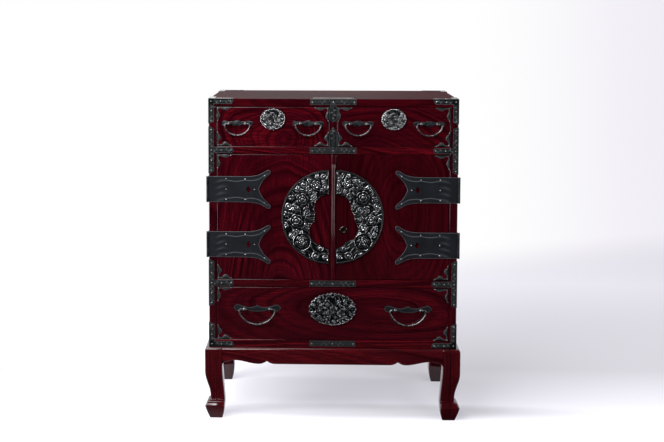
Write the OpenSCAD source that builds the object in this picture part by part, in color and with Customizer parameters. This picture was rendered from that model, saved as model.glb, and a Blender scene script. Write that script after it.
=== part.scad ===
// Tansu chest: a lacquered wooden case with iron fittings on a stand with cabriole legs.
// Two upper drawers, a cupboard with a pair of doors, and one wide lower drawer.
// Millimetres. +X is the viewer's right, the front faces -Y, +Z is up. The origin is on the
// floor, at the middle of the whole chest.

/* [Case] */
// Width of the case
case_w = 758; // [744:2:880]
// Depth of the case, from its front edges to its back
case_d = 424; // [380:2:480]
// Thickness of the case's boards
board_t = 24; // [20:1:28]
// Height of the opening of the two upper drawers
upper_h = 121; // [116:1:150]
// Height of the opening of the doors
door_h = 386; // [380:2:440]
// Height of the opening of the lower drawer
lower_h = 164; // [150:1:200]
// Thickness of the back panel
back_t = 7; // [5:0.5:9]
// Depth of the grooves and housings that join the boards
housing = 8; // [5:0.5:9]
// Distance that a hidden groove stops behind the front edge
groove_stop = 14; // [10:1:20]
// Thickness of the shelf in the cupboard
inner_shelf_t = 16; // [12:1:20]
// Height of that shelf's underside above the cupboard's floor
inner_shelf_z = 186; // [120:2:240]

/* [Stand] */
// Height of the stand
stand_h = 225; // [205:1:260]
// Distance that the stand stands out past the case all round
stand_over = 13; // [8:0.5:18]
// Width of a leg's square top
leg_w = 54; // [50:1:60]
// Radius of the rounding along the stand's top edge
stand_round = 9; // [5:0.5:11]
// Height at which a leg begins to curve inward
knee_z = 150; // [140:1:155]
// Height of the ankle, the slimmest place of a leg
ankle_z = 70; // [66:1:80]
// Distance that the ankle lies inside the leg's outer face
ankle_in = 15.5; // [10:0.5:18]
// Height of the foot's upper edge
foot_top = 56; // [50:1:60]
// Height of the foot's sharp widest edge
foot_edge = 41; // [34:1:46]
// Distance that the sole lies inside the foot's widest edge
sole_in = 14; // [8:0.5:16]
// Thickness of the aprons
apron_t = 20; // [17:1:24]
// Height of the aprons at the middle of their length
apron_h = 50; // [42:1:56]
// Distance from a leg to the pointed notch in an apron's lower edge
notch_at = 137; // [120:1:150]
// Length of the aprons' tenons in the legs
tenon_l = 24; // [16:1:30]

/* [Doors] */
// Thickness of the doors
door_t = 21; // [18:1:24]
// Gap round the doors and between them
door_gap = 1; // [0.8:0.1:1.5]
// Distance that the left door's edge lies past the middle of the case
meeting_x = 8.6; // [6:0.2:12]
// Width of the raised bar on the left door
bar_w = 14.4; // [10:0.2:16]
// Height that the raised bar stands out from the door
bar_out = 6; // [4:0.5:8]
// Distance from either end of the raised bar to the door's top or bottom
bar_end = 28; // [20:1:40]
// Radius of the two half discs
disc_r = 144.5; // [130:0.5:150]
// Thickness of the half discs' ground plate
disc_t = 3; // [2:0.5:5]
// Height of the half discs' relief over the ground plate
relief = 6; // [4:0.5:8]
// Height of the discs' centre above the lower edge of the doors' opening
disc_z = 194.5; // [185:0.5:205]

/* [Strap hinges] */
// Height of a strap
strap_h = 79.5; // [70:0.5:86]
// Reach of a strap, from the hinge pin to its forked tips
strap_l = 193.5; // [180:0.5:205]
// Height across the two forked tips
fork_h = 119; // [100:1:130]
// Thickness of the straps and of their plates on the sides
strap_t = 2; // [1.5:0.1:2.5]
// Height of the straps' centre lines from the middle of the doors' opening
strap_z = 85; // [82:1:100]
// Radius of the hinge pins
pin_r = 1.6; // [1.2:0.1:1.9]
// Outer radius of the hinge knuckles
knuckle_r = 3.6; // [3.2:0.1:4]
// Distance from the case's side to the pin's axis
pin_out = 4.2; // [4.1:0.1:5]
// Reach of the hinge plates along the case's sides
side_plate_l = 112; // [90:1:140]
// Running clearance of a pin in a turning knuckle
pin_fit = 0.08; // [0.05:0.01:0.1]
// Gap between two knuckles
knuckle_gap = 0.4; // [0.3:0.1:0.6]

/* [Drawers] */
// Thickness of the drawers' fronts
front_t = 20; // [18:1:24]
// Gap round the drawers' fronts
drawer_gap = 0.8; // [0.6:0.1:1.2]
// Gap under the drawers
slide_gap = 0.3; // [0.2:0.1:0.5]
// Thickness of the drawers' sides and backs
wall_t = 10; // [8:1:12]
// Thickness of the drawers' bottoms
drawer_bottom_t = 5; // [4:0.5:6]
// Height of a drawer's bottom above the drawer's lower edge
bottom_up = 8; // [6:0.5:12]
// Distance that the drawers' sides stay below their fronts' upper edge
wall_drop = 9; // [6:0.5:14]
// Room left behind the closed drawers
back_room = 12; // [6:1:30]

/* [Small handles] */
// Distance from a small drawer's middle to the middle of a handle
small_handle_x = 107.7; // [105:0.1:112]
// Height of the small handles above the drawers' opening
small_handle_z = 70; // [62:0.5:76]
// Half the distance between a small handle's posts
small_post_x = 24.7; // [22:0.1:27]
// Outer width of a small bail
small_bail_w = 80.7; // [76:0.1:86]
// Drop of a small bail from its pivot to its lowest edge
small_bail_h = 38; // [34:0.5:42]
// Radius of a small bail's wire
small_wire_r = 2.4; // [2:0.1:2.8]
// Length of a small handle's backing plate
small_plate_w = 96.5; // [92:0.5:100]
// Height of a small handle's backing plate
small_plate_h = 19; // [17:0.5:21]

/* [Large handles] */
// Distance from the lower drawer's middle to the middle of a handle
large_handle_x = 231; // [215:1:250]
// Height of the large handles above the drawer's opening
large_handle_z = 96.7; // [88:0.1:104]
// Half the distance between a large handle's posts
large_post_x = 39.2; // [36:0.1:42]
// Outer width of a large bail
large_bail_w = 114; // [108:0.5:120]
// Drop of a large bail from its pivot to its lowest edge
large_bail_h = 50.4; // [46:0.1:54]
// Radius of a large bail's wire
large_wire_r = 2.9; // [2.4:0.1:3.4]
// Length of a large handle's backing plate
large_plate_w = 144; // [138:0.5:150]
// Height of a large handle's backing plate
large_plate_h = 22.5; // [20:0.5:25]

/* [Posts] */
// Distance from a drawer's front to the axis of a bail
post_out = 10.5; // [9.5:0.1:12]
// Thickness of metal round a bail's end in the eye of its post
eye_wall = 2.6; // [2:0.1:3]
// Radius of a post's shank in the drawer's front
shank_r = 2.5; // [2:0.1:3]
// Running clearance of a bail in its eyes
bail_fit = 0.1; // [0.06:0.01:0.1]
// Thickness of the handles' backing plates
plate_t = 1.6; // [1.2:0.1:2]

/* [Locks] */
// Width of a small lock plate
small_lock_w = 79; // [74:0.5:84]
// Height of a small lock plate
small_lock_h = 68; // [64:0.5:72]
// Height of a small lock plate's centre above the drawers' opening
small_lock_z = 83.5; // [76:0.5:84]
// Width of the large lock plate
large_lock_w = 148; // [140:0.5:156]
// Height of the large lock plate
large_lock_h = 103; // [96:0.5:110]
// Height of the large lock plate's centre above the drawer's opening
large_lock_z = 96.7; // [88:0.1:98]
// Thickness of the lock plates' ground
lock_plate_t = 2.4; // [2:0.1:3]
// Height of the lock plates' relief over their ground
lock_relief = 5; // [3:0.5:6]
// Radius of the keyholes
keyhole_r = 3.6; // [3:0.1:4]
// Distance from a drawer front's upper edge to the keyhole
keyhole_drop = 24; // [22:0.5:26]
// Thickness of the lock cases, let into the back of the wood
lock_t = 11; // [10:0.5:12]
// Width of the lock cases
lock_w = 48; // [44:1:56]
// Width of the lock bolts
bolt_w = 18; // [14:1:22]
// Thickness of the lock bolts
bolt_t = 4.5; // [3.5:0.5:5]
// Length of the lock bolts
bolt_l = 34; // [32:1:38]
// Travel of the lock bolts
bolt_travel = 8; // [6:0.5:9]
// Running clearance round the lock bolts
bolt_fit = 0.3; // [0.2:0.05:0.4]
// Distance of the door's keyhole from the middle of the case
door_key_x = 32; // [31:0.5:38]
// Height of the door's keyhole above the doors' opening
door_key_z = 154; // [146:0.5:164]
// Outer radius of the ring round the door's keyhole
key_ring_r = 11.5; // [10:0.5:13]

/* [Fittings] */
// Thickness of the thin iron fittings
iron_t = 1.2; // [0.8:0.1:1.6]
// Width of the fittings on the edges of the case's sides
edge_iron_w = 16.5; // [14:0.5:18]
// Width of the fittings on the edges of its shelves, top and bottom
rail_iron_w = 18; // [15:0.5:19]
// Reach of the case's corner fittings along its edges
corner_reach = 77; // [66:1:84]
// Reach of the long edge fittings over and under a shelf
edge_reach = 72; // [60:1:74]
// Half the length of the fittings at the middle of the case's edges
middle_reach = 70; // [60:1:76]
// Reach of the corner fittings on the drawers and doors
small_reach = 41; // [36:1:44]
// Width of those corner fittings' arms
small_arm = 9; // [7:0.5:10]

/* [Hidden] */

lacquer = "#4a0a12";
lacquer_dark = "#3a0a12";
iron = "#2b2d31";
relief_iron = "#45474c";
plain_wood = "#b08a5c";
steel = "#8a8a8a";

// Heights of the case's boards and openings
floor_z = stand_h + board_t;
lower_top = floor_z + lower_h;
door_lo = lower_top + board_t;
door_hi = door_lo + door_h;
upper_lo = door_hi + board_t;
upper_hi = upper_lo + upper_h;
top_z = upper_hi + board_t;
half_w = case_w / 2;
inner_x = half_w - board_t;
partition_x = board_t / 2;

// Front and back planes, set so that the origin is in the middle of the whole depth
small_eye_r = small_wire_r + bail_fit + eye_wall;
large_eye_r = large_wire_r + bail_fit + eye_wall;
front_reach = max(stand_over, post_out + large_eye_r, disc_t + relief);
front_y = (front_reach - case_d - stand_over) / 2;
back_y = front_y + case_d;
panel_y = back_y - back_t;
drawer_d = case_d - back_t - back_room;
stand_x = half_w + stand_over;
stand_front = front_y - stand_over;
stand_back = back_y + stand_over;

// Clearance of a glued joint's tongue or tenon, and of an inlaid lock
glue_fit = 0.1;
inlay_fit = 0.2;

// Hinge axis at each outer front corner, in the middle of the strap's thickness
pin_x = half_w + pin_out;
pin_y = front_y - strap_t / 2;
strap_zs = [(door_lo + door_hi) / 2 + strap_z, (door_lo + door_hi) / 2 - strap_z];
knuckle_h = strap_h / 3;
disc_centre_z = door_lo + disc_z;
bar_in = 6;
disc_gap = 0.4;
bar_x = meeting_x - bar_in - bar_w;
left_disc_x = bar_x - disc_gap;
right_disc_x = meeting_x + door_gap + 1;
left_edge = meeting_x;
right_edge = meeting_x + door_gap;
drawer_mid_x = (inner_x + partition_x) / 2;
bolt_y = front_y + front_t - lock_t / 2;
door_bolt_y = front_y + door_t - lock_t / 2;

// A box between two opposite corners
module block(lo, hi) {
    translate(lo) cube(hi - lo);
}

// The children as drawn, and mirrored to the other side of the case
module both_sides() {
    children();
    mirror([1, 0, 0]) children();
}

// A flat drawing in X and Z, raised by t in front of the plane y
module front_plate(y, t) {
    translate([0, y, 0]) rotate([90, 0, 0]) linear_extrude(t) children();
}

// A flat drawing in Y and Z, raised by t outward from the left side of the case
module left_plate(t) {
    translate([-half_w - t, 0, 0]) rotate([90, 0, 90]) linear_extrude(t) children();
}

// The stand. A leg's outline: s runs inward from its outer face, and the second number is height.
function smooth(t) = t * t * (3 - 2 * t);
leg_curve = [for (i = [0:10]) let (t = i / 10)
    [ankle_in * smooth(t), knee_z - (knee_z - ankle_z) * t]];
leg_top_arc = [for (i = [0:6]) let (a = 90 - 15 * i)
    [stand_round * (1 - cos(a)), stand_h - stand_round + stand_round * sin(a)]];
foot_bow = 6;
leg_outline = concat(
    [[leg_w, stand_h]], [for (i = [0:6]) leg_top_arc[i]],
    leg_curve,
    [[ankle_in, foot_top + 2], [ankle_in * 0.4, foot_top - 2], [0, foot_edge],
     [sole_in * 0.28, foot_edge * 0.67], [sole_in, 0],
     [leg_w - 1, 0], [leg_w + foot_bow * 0.7, foot_edge], [leg_w + foot_bow, foot_top],
     [leg_w + foot_bow * 0.65, (foot_top + knee_z) / 2 - 8], [leg_w + 1, knee_z - 20],
     [leg_w - 1.4, knee_z + 8], [leg_w, knee_z + 20]]);

// One leg at the left front corner of the stand, with the mortises of its two aprons
module leg() {
    far = leg_w + foot_bow + 1;
    difference() {
        intersection() {
            translate([-stand_x, stand_front + far, 0]) rotate([90, 0, 0])
                linear_extrude(far) polygon(leg_outline);
            translate([-stand_x, stand_front, 0]) rotate([90, 0, 90])
                linear_extrude(far) polygon(leg_outline);
        }
        tenon_pair(glue_fit);
    }
}

// The two tenons that enter the left front leg, grown by a clearance
tenon_in = 6;
tenon_t = 9;
tenon_h = 34;
module tenon_pair(grow) {
    z = [stand_h - 10 - tenon_h - grow, stand_h - 10 + grow];
    s = [tenon_in - grow, tenon_in + tenon_t + grow];
    r = [leg_w - tenon_l - grow, leg_w + foot_bow + 2];
    block([-stand_x + r[0], stand_front + s[0], z[0]], [-stand_x + r[1], stand_front + s[1], z[1]]);
    block([-stand_x + s[0], stand_front + r[0], z[0]], [-stand_x + s[1], stand_front + r[1], z[1]]);
}

// The lower edge of an apron of half length h: an ear against the leg, a wave, a pointed notch
// and a straight middle. s is the distance from the leg.
ear_w = 37;
ear_z = knee_z + 21;
ear_top = 11;
wave_end = 24;
function edge_z(s) =
    let (flat = stand_h - apron_h, notch_z = flat + 9, crown = flat + ear_top)
    s < ear_w ? ear_z + (crown - ear_z) * sqrt(max(0, 1 - pow(1 - s / ear_w, 2))) :
    s < notch_at - wave_end ?
        flat + ear_top / 2 * (1 + cos(180 * (s - ear_w) / (notch_at - wave_end - ear_w))) :
    s < notch_at + wave_end ? flat + 9 * pow(1 - abs(s - notch_at) / wave_end, 2) : flat;
function edge_side(h) = concat(
    [for (a = [0:15:75]) let (s = ear_w * (1 - cos(a))) [h - s, edge_z(s)]],
    [for (i = [0:7]) let (s = ear_w + (notch_at - wave_end - ear_w) * i / 8) [h - s, edge_z(s)]],
    [for (i = [0:8]) let (s = notch_at - wave_end + wave_end * i / 4) [h - s, edge_z(s)]]);
module apron_outline(h) {
    right = edge_side(h);
    left = [for (i = [len(right) - 1:-1:0]) [-right[i][0], right[i][1]]];
    polygon(concat([[-h, stand_h], [h, stand_h]], right, left));
}

// The cross-section of an apron, rounded at its outer upper edge
module apron_section() {
    difference() {
        square([apron_t, stand_h]);
        translate([0, stand_h - stand_round]) difference() {
            square(stand_round);
            translate([stand_round, 0]) circle(stand_round, $fn = 48);
        }
    }
}

module front_apron() {
    h = stand_x - leg_w;
    intersection() {
        translate([0, stand_front + apron_t, 0]) rotate([90, 0, 0])
            linear_extrude(apron_t) apron_outline(h);
        translate([-h, stand_front, 0]) rotate([90, 0, 90]) linear_extrude(2 * h) apron_section();
    }
    both_sides() intersection() {
        tenon_pair(0);
        block([-h - tenon_l, stand_front, 0], [-h, stand_front + leg_w, stand_h]);
    }
}

module left_apron() {
    mid_y = (stand_front + stand_back) / 2;
    h = (stand_back - stand_front) / 2 - leg_w;
    intersection() {
        translate([-stand_x, mid_y, 0]) rotate([90, 0, 90])
            linear_extrude(apron_t) apron_outline(h);
        translate([-stand_x, mid_y + h, 0]) rotate([90, 0, 0])
            linear_extrude(2 * h) apron_section();
    }
    for (m = [0, 1]) translate([0, mid_y, 0]) mirror([0, m, 0]) translate([0, -mid_y, 0])
        intersection() {
            tenon_pair(0);
            block([-stand_x, mid_y - h - tenon_l, 0], [-stand_x + leg_w, mid_y - h, stand_h]);
        }
}

// The same, front to back
module both_ends() {
    mid_y = (stand_front + stand_back) / 2;
    children();
    translate([0, mid_y, 0]) mirror([0, 1, 0]) translate([0, -mid_y, 0]) children();
}

module stand_front_legs() {
    color(lacquer_dark) both_sides() leg();
}

module stand_back_legs() {
    mid_y = (stand_front + stand_back) / 2;
    color(lacquer_dark) translate([0, mid_y, 0]) mirror([0, 1, 0]) translate([0, -mid_y, 0])
        both_sides() leg();
}

module stand_long_aprons() {
    color(lacquer_dark) both_ends() front_apron();
}

// The side aprons, and a rail between the long aprons that carries the middle of the case
cross_rail_w = 40;
cross_rail_h = 36;
module stand_cross_aprons() {
    color(lacquer_dark) {
        both_sides() left_apron();
        block([-cross_rail_w / 2, stand_front + apron_t, stand_h - cross_rail_h],
              [cross_rail_w / 2, stand_back - apron_t, stand_h]);
    }
}

// The case. Tongues on the side boards and the partition stand in grooves in the boards.
tongue_t = 8;
module tongue(x, z, up, grow) {
    end_z = up ? z + housing + grow : z - housing - grow;
    block([x - tongue_t / 2 - grow, front_y + groove_stop - grow, min(z, end_z)],
          [x + tongue_t / 2 + grow, panel_y, max(z, end_z)]);
}
module side_tongues(grow) {
    both_sides() {
        tongue(-half_w + board_t / 2, upper_hi, true, grow);
        tongue(-half_w + board_t / 2, floor_z, false, grow);
    }
}
module partition_tongues(grow) {
    tongue(0, upper_hi, true, grow);
    tongue(0, upper_lo, false, grow);
}

// The space that the back panel takes in the rebates of the boards
module back_space(grow) {
    block([-inner_x - housing - grow, panel_y - grow, floor_z - housing - grow],
          [inner_x + housing + grow, back_y + 1, upper_hi + housing + grow]);
}

// Mortise for a lock bolt that rises from a drawer below z
module bolt_mortise(x, z) {
    m = bolt_fit * 2;
    block([x - bolt_w / 2 - m, bolt_y - bolt_t / 2 - m, z - 1],
          [x + bolt_w / 2 + m, bolt_y + bolt_t / 2 + m, z + bolt_travel + 2]);
}

module bottom_board() {
    color(lacquer) difference() {
        block([-half_w, front_y, stand_h], [half_w, back_y, floor_z]);
        side_tongues(glue_fit);
        back_space(0);
    }
}

module top_board() {
    color(lacquer) difference() {
        block([-half_w, front_y, upper_hi], [half_w, back_y, top_z]);
        side_tongues(glue_fit);
        partition_tongues(glue_fit);
        back_space(0);
        both_sides() bolt_mortise(-drawer_mid_x, upper_hi);
    }
}

module side_board() {
    difference() {
        block([-half_w, front_y, floor_z], [-inner_x, back_y, upper_hi]);
        back_space(0);
        shelf_ends(upper_lo - board_t, board_t, front_y + groove_stop, glue_fit);
        shelf_ends(lower_top, board_t, front_y + groove_stop, glue_fit);
        shelf_ends(door_lo + inner_shelf_z, inner_shelf_t, inner_shelf_y, glue_fit);
    }
    intersection() {
        side_tongues(0);
        block([-half_w, front_y, stand_h], [-inner_x, back_y, top_z]);
    }
}

// The ends of a shelf that stand in the housings of the side boards
module shelf_ends(z, t, y, grow) {
    both_sides() block([-inner_x - housing - grow, y - grow, z - grow],
                       [-inner_x + grow, panel_y, z + t + grow]);
}

module shelf(z, t, y0, y_end) {
    block([-inner_x, y0, z], [inner_x, panel_y, z + t]);
    shelf_ends(z, t, y_end, 0);
}

module left_side_board() {
    color(lacquer) side_board();
}

module right_side_board() {
    color(lacquer) mirror([1, 0, 0]) side_board();
}

module upper_shelf() {
    color(lacquer) difference() {
        shelf(door_hi, board_t, front_y, front_y + groove_stop);
        partition_tongues(glue_fit);
    }
}

module lower_shelf() {
    color(lacquer) difference() {
        shelf(lower_top, board_t, front_y, front_y + groove_stop);
        bolt_mortise(0, lower_top);
    }
}

module centre_partition() {
    color(lacquer) {
        block([-partition_x, front_y, upper_lo], [partition_x, panel_y, upper_hi]);
        partition_tongues(0);
    }
}

module back_panel() {
    color(plain_wood) intersection() {
        back_space(-glue_fit);
        block([-half_w, panel_y, stand_h], [half_w, back_y, top_z]);
    }
}

// The doors close against the front edge of this shelf
inner_shelf_y = front_y + door_t + 1;
module inner_shelf() {
    color(plain_wood) shelf(door_lo + inner_shelf_z, inner_shelf_t, inner_shelf_y, inner_shelf_y);
}

// Fittings. A bar of length l and width w from the origin along X, on the lower side of it, with
// a round end and scallops along its lower edge.
module arm(l, w) {
    scallop = w * 0.12;
    translate([0, scallop - w]) square([l - w / 2, w - scallop]);
    translate([l - w / 2, -w / 2]) circle(w / 2, $fn = 24);
    for (s = [1:3]) translate([l * s / 4 - w / 8, scallop - w]) circle(scallop, $fn = 16);
}

// A corner fitting whose outer corner is the origin, with arms along X and down along Y
module corner_shape(rx, rz, wx, wz) {
    arm(rx, wx);
    mirror([1, 1]) arm(rz, wz);
    translate([wz * 0.8, -wx * 0.8]) circle(min(wx, wz) * 0.75, $fn = 24);
}

// Small corner fitting of a drawer or door
module small_corner() {
    corner_shape(small_reach, small_reach, small_arm, small_arm);
}

// Small corner fittings at the corners listed in a pair of X and a pair of Z values
module small_corners(x, z, sides) {
    for (i = sides, j = [0, 1])
        front_plate(front_y, iron_t) translate([x[i], z[j]])
            mirror([i, 0]) mirror([0, 1 - j]) small_corner();
}

// The case's corner fittings: bent plates, over three faces at each upper corner and over two
// at each lower one. The front plate covers the edges of the others.
module case_corner_irons() {
    r = corner_reach;
    e = edge_iron_w + iron_t;
    w = rail_iron_w;
    color(iron) both_sides() {
        for (top = [0, 1]) {
            z = top ? top_z + iron_t : stand_h;
            front_plate(front_y, iron_t) translate([-half_w - iron_t, z]) mirror([0, 1 - top])
                corner_shape(r, r, w, e);
            left_plate(iron_t) translate([front_y, z]) mirror([0, 1 - top])
                corner_shape(r, r, w, w);
            left_plate(iron_t) translate([back_y, z]) mirror([1, 0]) mirror([0, 1 - top])
                corner_shape(r, r, w, w);
        }
        for (end = [0, 1])
            translate([-half_w, end ? back_y : front_y, top_z]) mirror([0, 1 - end])
                linear_extrude(iron_t) corner_shape(r, r, w, w);
    }
}

// The long fittings on the edges of the side boards where a shelf meets them, and the plates
// at the middle of the case
module edge_iron(z) {
    front_plate(front_y, iron_t) translate([-half_w - iron_t, z]) {
        translate([0, rail_iron_w / 2]) arm(corner_reach, rail_iron_w);
        for (m = [0, 1]) mirror([0, m]) mirror([1, 1]) arm(edge_reach, edge_iron_w + iron_t);
    }
    left_plate(iron_t) translate([front_y, z])
        for (m = [0, 1]) mirror([0, m]) mirror([1, 1]) arm(edge_reach, edge_iron_w);
}

module middle_iron(z, w) {
    translate([0, z]) for (m = [0, 1]) mirror([m, 0]) translate([0, w / 2]) arm(middle_reach, w);
}

module case_edge_irons() {
    mid_upper = door_hi + board_t / 2;
    mid_lower = lower_top + board_t / 2;
    stem = upper_h * 0.46;
    stem_w = board_t - 1;
    color(iron) {
        both_sides() {
            edge_iron(mid_upper);
            edge_iron(mid_lower);
        }
        front_plate(front_y, iron_t) {
            middle_iron(upper_hi + board_t / 2, board_t);
            middle_iron(mid_upper, rail_iron_w);
            middle_iron(mid_lower, rail_iron_w);
            middle_iron(stand_h + board_t / 2, rail_iron_w);
            translate([-stem_w / 2, upper_hi + 1]) mirror([1, 1]) arm(stem - 9, stem_w);
            translate([-stem_w / 2, mid_upper]) rotate(90) arm(stem + 12, stem_w);
            translate([-middle_reach + 12, top_z - 1]) square([2 * middle_reach - 24, 1 + iron_t]);
        }
        translate([0, front_y + edge_iron_w, top_z]) linear_extrude(iron_t)
            for (m = [0, 1]) mirror([m, 0]) arm(middle_reach - 6, edge_iron_w);
    }
}

// Hinges. The strap's knuckle is the middle third, and the side plate's are the outer two.
module knuckle(z, h) {
    translate([-pin_x, pin_y, z - h / 2]) cylinder(r = knuckle_r, h = h, $fn = 40);
}
module pin_bore(z, r) {
    translate([-pin_x, pin_y, z - strap_h]) cylinder(r = r, h = 2 * strap_h, $fn = 40);
}

// Outline of a strap on its own centre line, from the pin at X = 0 to the forked tips
bite_r = 45;
flare_r = 64;
eye_back = 64;
module strap_outline() {
    tip = fork_h / 2;
    bite_x = strap_l + 9;
    flare_x = strap_l - sqrt(max(0, pow(flare_r, 2) - pow(flare_r - (tip - strap_h / 2), 2))) - 6;
    difference() {
        translate([0, -tip]) square([strap_l, fork_h]);
        translate([bite_x, 0]) circle(bite_r, $fn = 72);
        for (s = [-1, 1]) {
            translate([-1, s > 0 ? strap_h / 2 : -tip - 1])
                square([flare_x + 1, tip - strap_h / 2 + 1]);
            translate([flare_x, s * (strap_h / 2 + flare_r)]) circle(flare_r, $fn = 96);
        }
        translate([strap_l - eye_back, 0]) boars_eye();
    }
}

// The heart-shaped piercing
module boars_eye() {
    for (s = [-1, 1]) translate([-4, s * 4.6]) circle(4.6, $fn = 24);
    translate([-3, 0]) rotate(45) square(12, center = true);
}

// Room round the knuckles, which reaches past the face of the case's side
hinge_room = pin_out + 0.4;
module strap(z) {
    mid = knuckle_h / 2 - knuckle_gap / 2;
    difference() {
        union() {
            front_plate(front_y, strap_t) translate([-pin_x, z]) strap_outline();
            knuckle(z, 2 * mid);
        }
        for (s = [-1, 1])
            translate([-pin_x - hinge_room, front_y - 9, z + (s > 0 ? mid : -mid - strap_h)])
                cube([2 * hinge_room, 18, strap_h]);
        pin_bore(z, pin_r + pin_fit);
    }
}

module side_leaf(z) {
    outer = knuckle_h / 2 + knuckle_gap / 2;
    difference() {
        union() {
            left_plate(strap_t) translate([pin_y, z - strap_h / 2])
                square([side_plate_l, strap_h]);
            for (s = [-1, 1]) knuckle(z + s * (outer + strap_h / 2) / 2, strap_h / 2 - outer);
        }
        translate([-pin_x - hinge_room, pin_y - 9, z - outer])
            cube([2 * hinge_room, 9 + hinge_room, 2 * outer]);
        left_plate(strap_t + 2) translate([pin_y + side_plate_l + 8, z]) circle(24, $fn = 64);
        pin_bore(z, pin_r);
    }
}

module hinge_side_plates() {
    color(iron) both_sides() for (z = strap_zs) side_leaf(z);
}

module hinge_pins() {
    color(steel) both_sides() for (z = strap_zs)
        translate([-pin_x, pin_y, z - strap_h / 2]) cylinder(r = pin_r, h = strap_h, $fn = 40);
}

module left_door_straps() {
    color(iron) for (z = strap_zs) strap(z);
}

module right_door_straps() {
    color(iron) mirror([1, 0, 0]) for (z = strap_zs) strap(z);
}

// Doors
door_z = [door_lo + door_gap, door_hi - door_gap];
lock_h = keyhole_drop + 26;
module left_door_board() {
    key_z = door_lo + door_key_z;
    m = 2 * bolt_fit;
    color(lacquer) difference() {
        block([-inner_x + door_gap, front_y, door_z[0]], [left_edge, front_y + door_t, door_z[1]]);
        block([left_edge - bolt_travel - 2, door_bolt_y - bolt_t / 2 - m, key_z - bolt_w / 2 - m],
              [left_edge + 1, door_bolt_y + bolt_t / 2 + m, key_z + bolt_w / 2 + m]);
    }
}

module right_door_board() {
    key_z = door_lo + door_key_z;
    color(lacquer) difference() {
        block([right_edge, front_y, door_z[0]], [inner_x - door_gap, front_y + door_t, door_z[1]]);
        in_door_lock() lock_pocket(0, front_y + door_t, inlay_fit);
        keyhole(door_key_x, key_z, door_t);
    }
}

module meeting_bar() {
    color(lacquer) translate([bar_x + bar_w / 2, front_y, door_z[0] + bar_end]) intersection() {
        scaled_round(bar_w, bar_out, door_z[1] - door_z[0] - 2 * bar_end);
        translate([-bar_w / 2, -bar_out, 0])
            cube([bar_w, bar_out, door_z[1] - door_z[0] - 2 * bar_end]);
    }
}

// An upright bar whose cross-section is an arc of width w and height d
module scaled_round(w, d, h) {
    r = (w * w / 4 + d * d) / (2 * d);
    translate([0, r - d, 0]) cylinder(r = r, h = h, $fn = 64);
}

module left_door_corner_irons() {
    color(iron) small_corners([-inner_x + door_gap, left_edge], door_z, [0]);
}

module right_door_corner_irons() {
    color(iron) small_corners([right_edge, inner_x - door_gap], door_z, [1]);
}

// Half discs: a half-round ground plate with a raised rim and a cloud-shaped opening towards
// the middle, set with flowers and leaves. Seen on its own, the flat side is at X = 0 and the
// disc lies towards negative X.
rim_w = 8;
module half_round(r) {
    intersection() {
        circle(r, $fn = 180);
        translate([-r - 1, -r - 1]) square([r + 1, 2 * r + 2]);
    }
}
module cloud() {
    k = disc_r / 100;
    translate([0, 28 * k]) circle(17 * k, $fn = 48);
    translate([-10 * k, -3 * k]) circle(25 * k, $fn = 48);
    translate([-7 * k, -32 * k]) circle(19.5 * k, $fn = 48);
}

// One ring of a flower's round petals, for a flower of radius r
module petals(r, ring) {
    for (i = [0:5]) rotate(60 * (i + ring / 2)) translate([r * (0.6 - 0.2 * ring), 0])
        circle(r * (0.4 - 0.08 * ring), $fn = 24);
}

// A pointed leaf of length l, the overlap of two circles
module leaf(l) {
    intersection_for (s = [-1, 1]) translate([0, s * l * 0.38]) circle(l * 0.62, $fn = 48);
}

// Flowers are given by their bearing on a ring; leaves by bearing and distance
flower_ring = disc_r * 0.7;
flower_r = disc_r * 0.19;
flower_bearings = [112, 150, 205, 243];
leaves = [[131, 0.83], [131, 0.42], [170, 0.83], [185, 0.83], [178, 0.52], [224, 0.83],
    [224, 0.56], [260, 0.83], [100, 0.84]];
module half_disc() {
    linear_extrude(disc_t) difference() {
        half_round(disc_r);
        cloud();
    }
    translate([0, 0, disc_t / 2]) {
        linear_extrude(disc_t / 2 + relief * 0.6) difference() {
            half_round(disc_r);
            circle(disc_r - rim_w, $fn = 180);
        }
        for (ring = [0:2]) linear_extrude(disc_t / 2 + relief * (0.5 + 0.2 * ring))
            for (a = flower_bearings) rotate(a) translate([flower_ring, 0]) petals(flower_r, ring);
        linear_extrude(disc_t / 2 + relief) for (a = flower_bearings)
            rotate(a) translate([flower_ring, 0]) circle(flower_r * 0.2, $fn = 24);
        linear_extrude(disc_t / 2 + relief * 0.4)
            for (p = leaves) rotate(p[0]) translate([disc_r * p[1], 0]) rotate(70)
                leaf(disc_r * 0.13);
    }
}

module left_half_disc() {
    color(relief_iron) translate([left_disc_x, front_y, disc_centre_z]) rotate([90, 0, 0])
        half_disc();
}

module right_half_disc() {
    color(relief_iron) mirror([1, 0, 0]) translate([-right_disc_x, front_y, disc_centre_z])
        rotate([90, 0, 0]) half_disc();
}

// Locks. A keyhole through wood of thickness t and everything in front of it.
module keyhole(x, z, t) {
    translate([x, front_y + t + 1, z]) rotate([90, 0, 0])
        cylinder(r = keyhole_r, h = t + 20, $fn = 32);
}

// The space of a lock case in the back of the wood, below the edge Z = z, grown by a clearance
module lock_pocket(z, back, grow) {
    block([-lock_w / 2 - grow, back - lock_t - grow, z - lock_h - grow],
          [lock_w / 2 + grow, back + grow, z + grow]);
}

// A lock case round its bolt's channel, with the keyhole a drop below its edge
module lock_case(z, back, drop) {
    m = bolt_fit;
    y = back - lock_t / 2;
    difference() {
        lock_pocket(z, back, 0);
        block([-bolt_w / 2 - m, y - bolt_t / 2 - m, z - bolt_l - 2 * m],
              [bolt_w / 2 + m, y + bolt_t / 2 + m, z + 1]);
        translate([0, y, z - drop]) rotate([90, 0, 0])
            cylinder(r = keyhole_r, h = lock_t, $fn = 32);
    }
}

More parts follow.
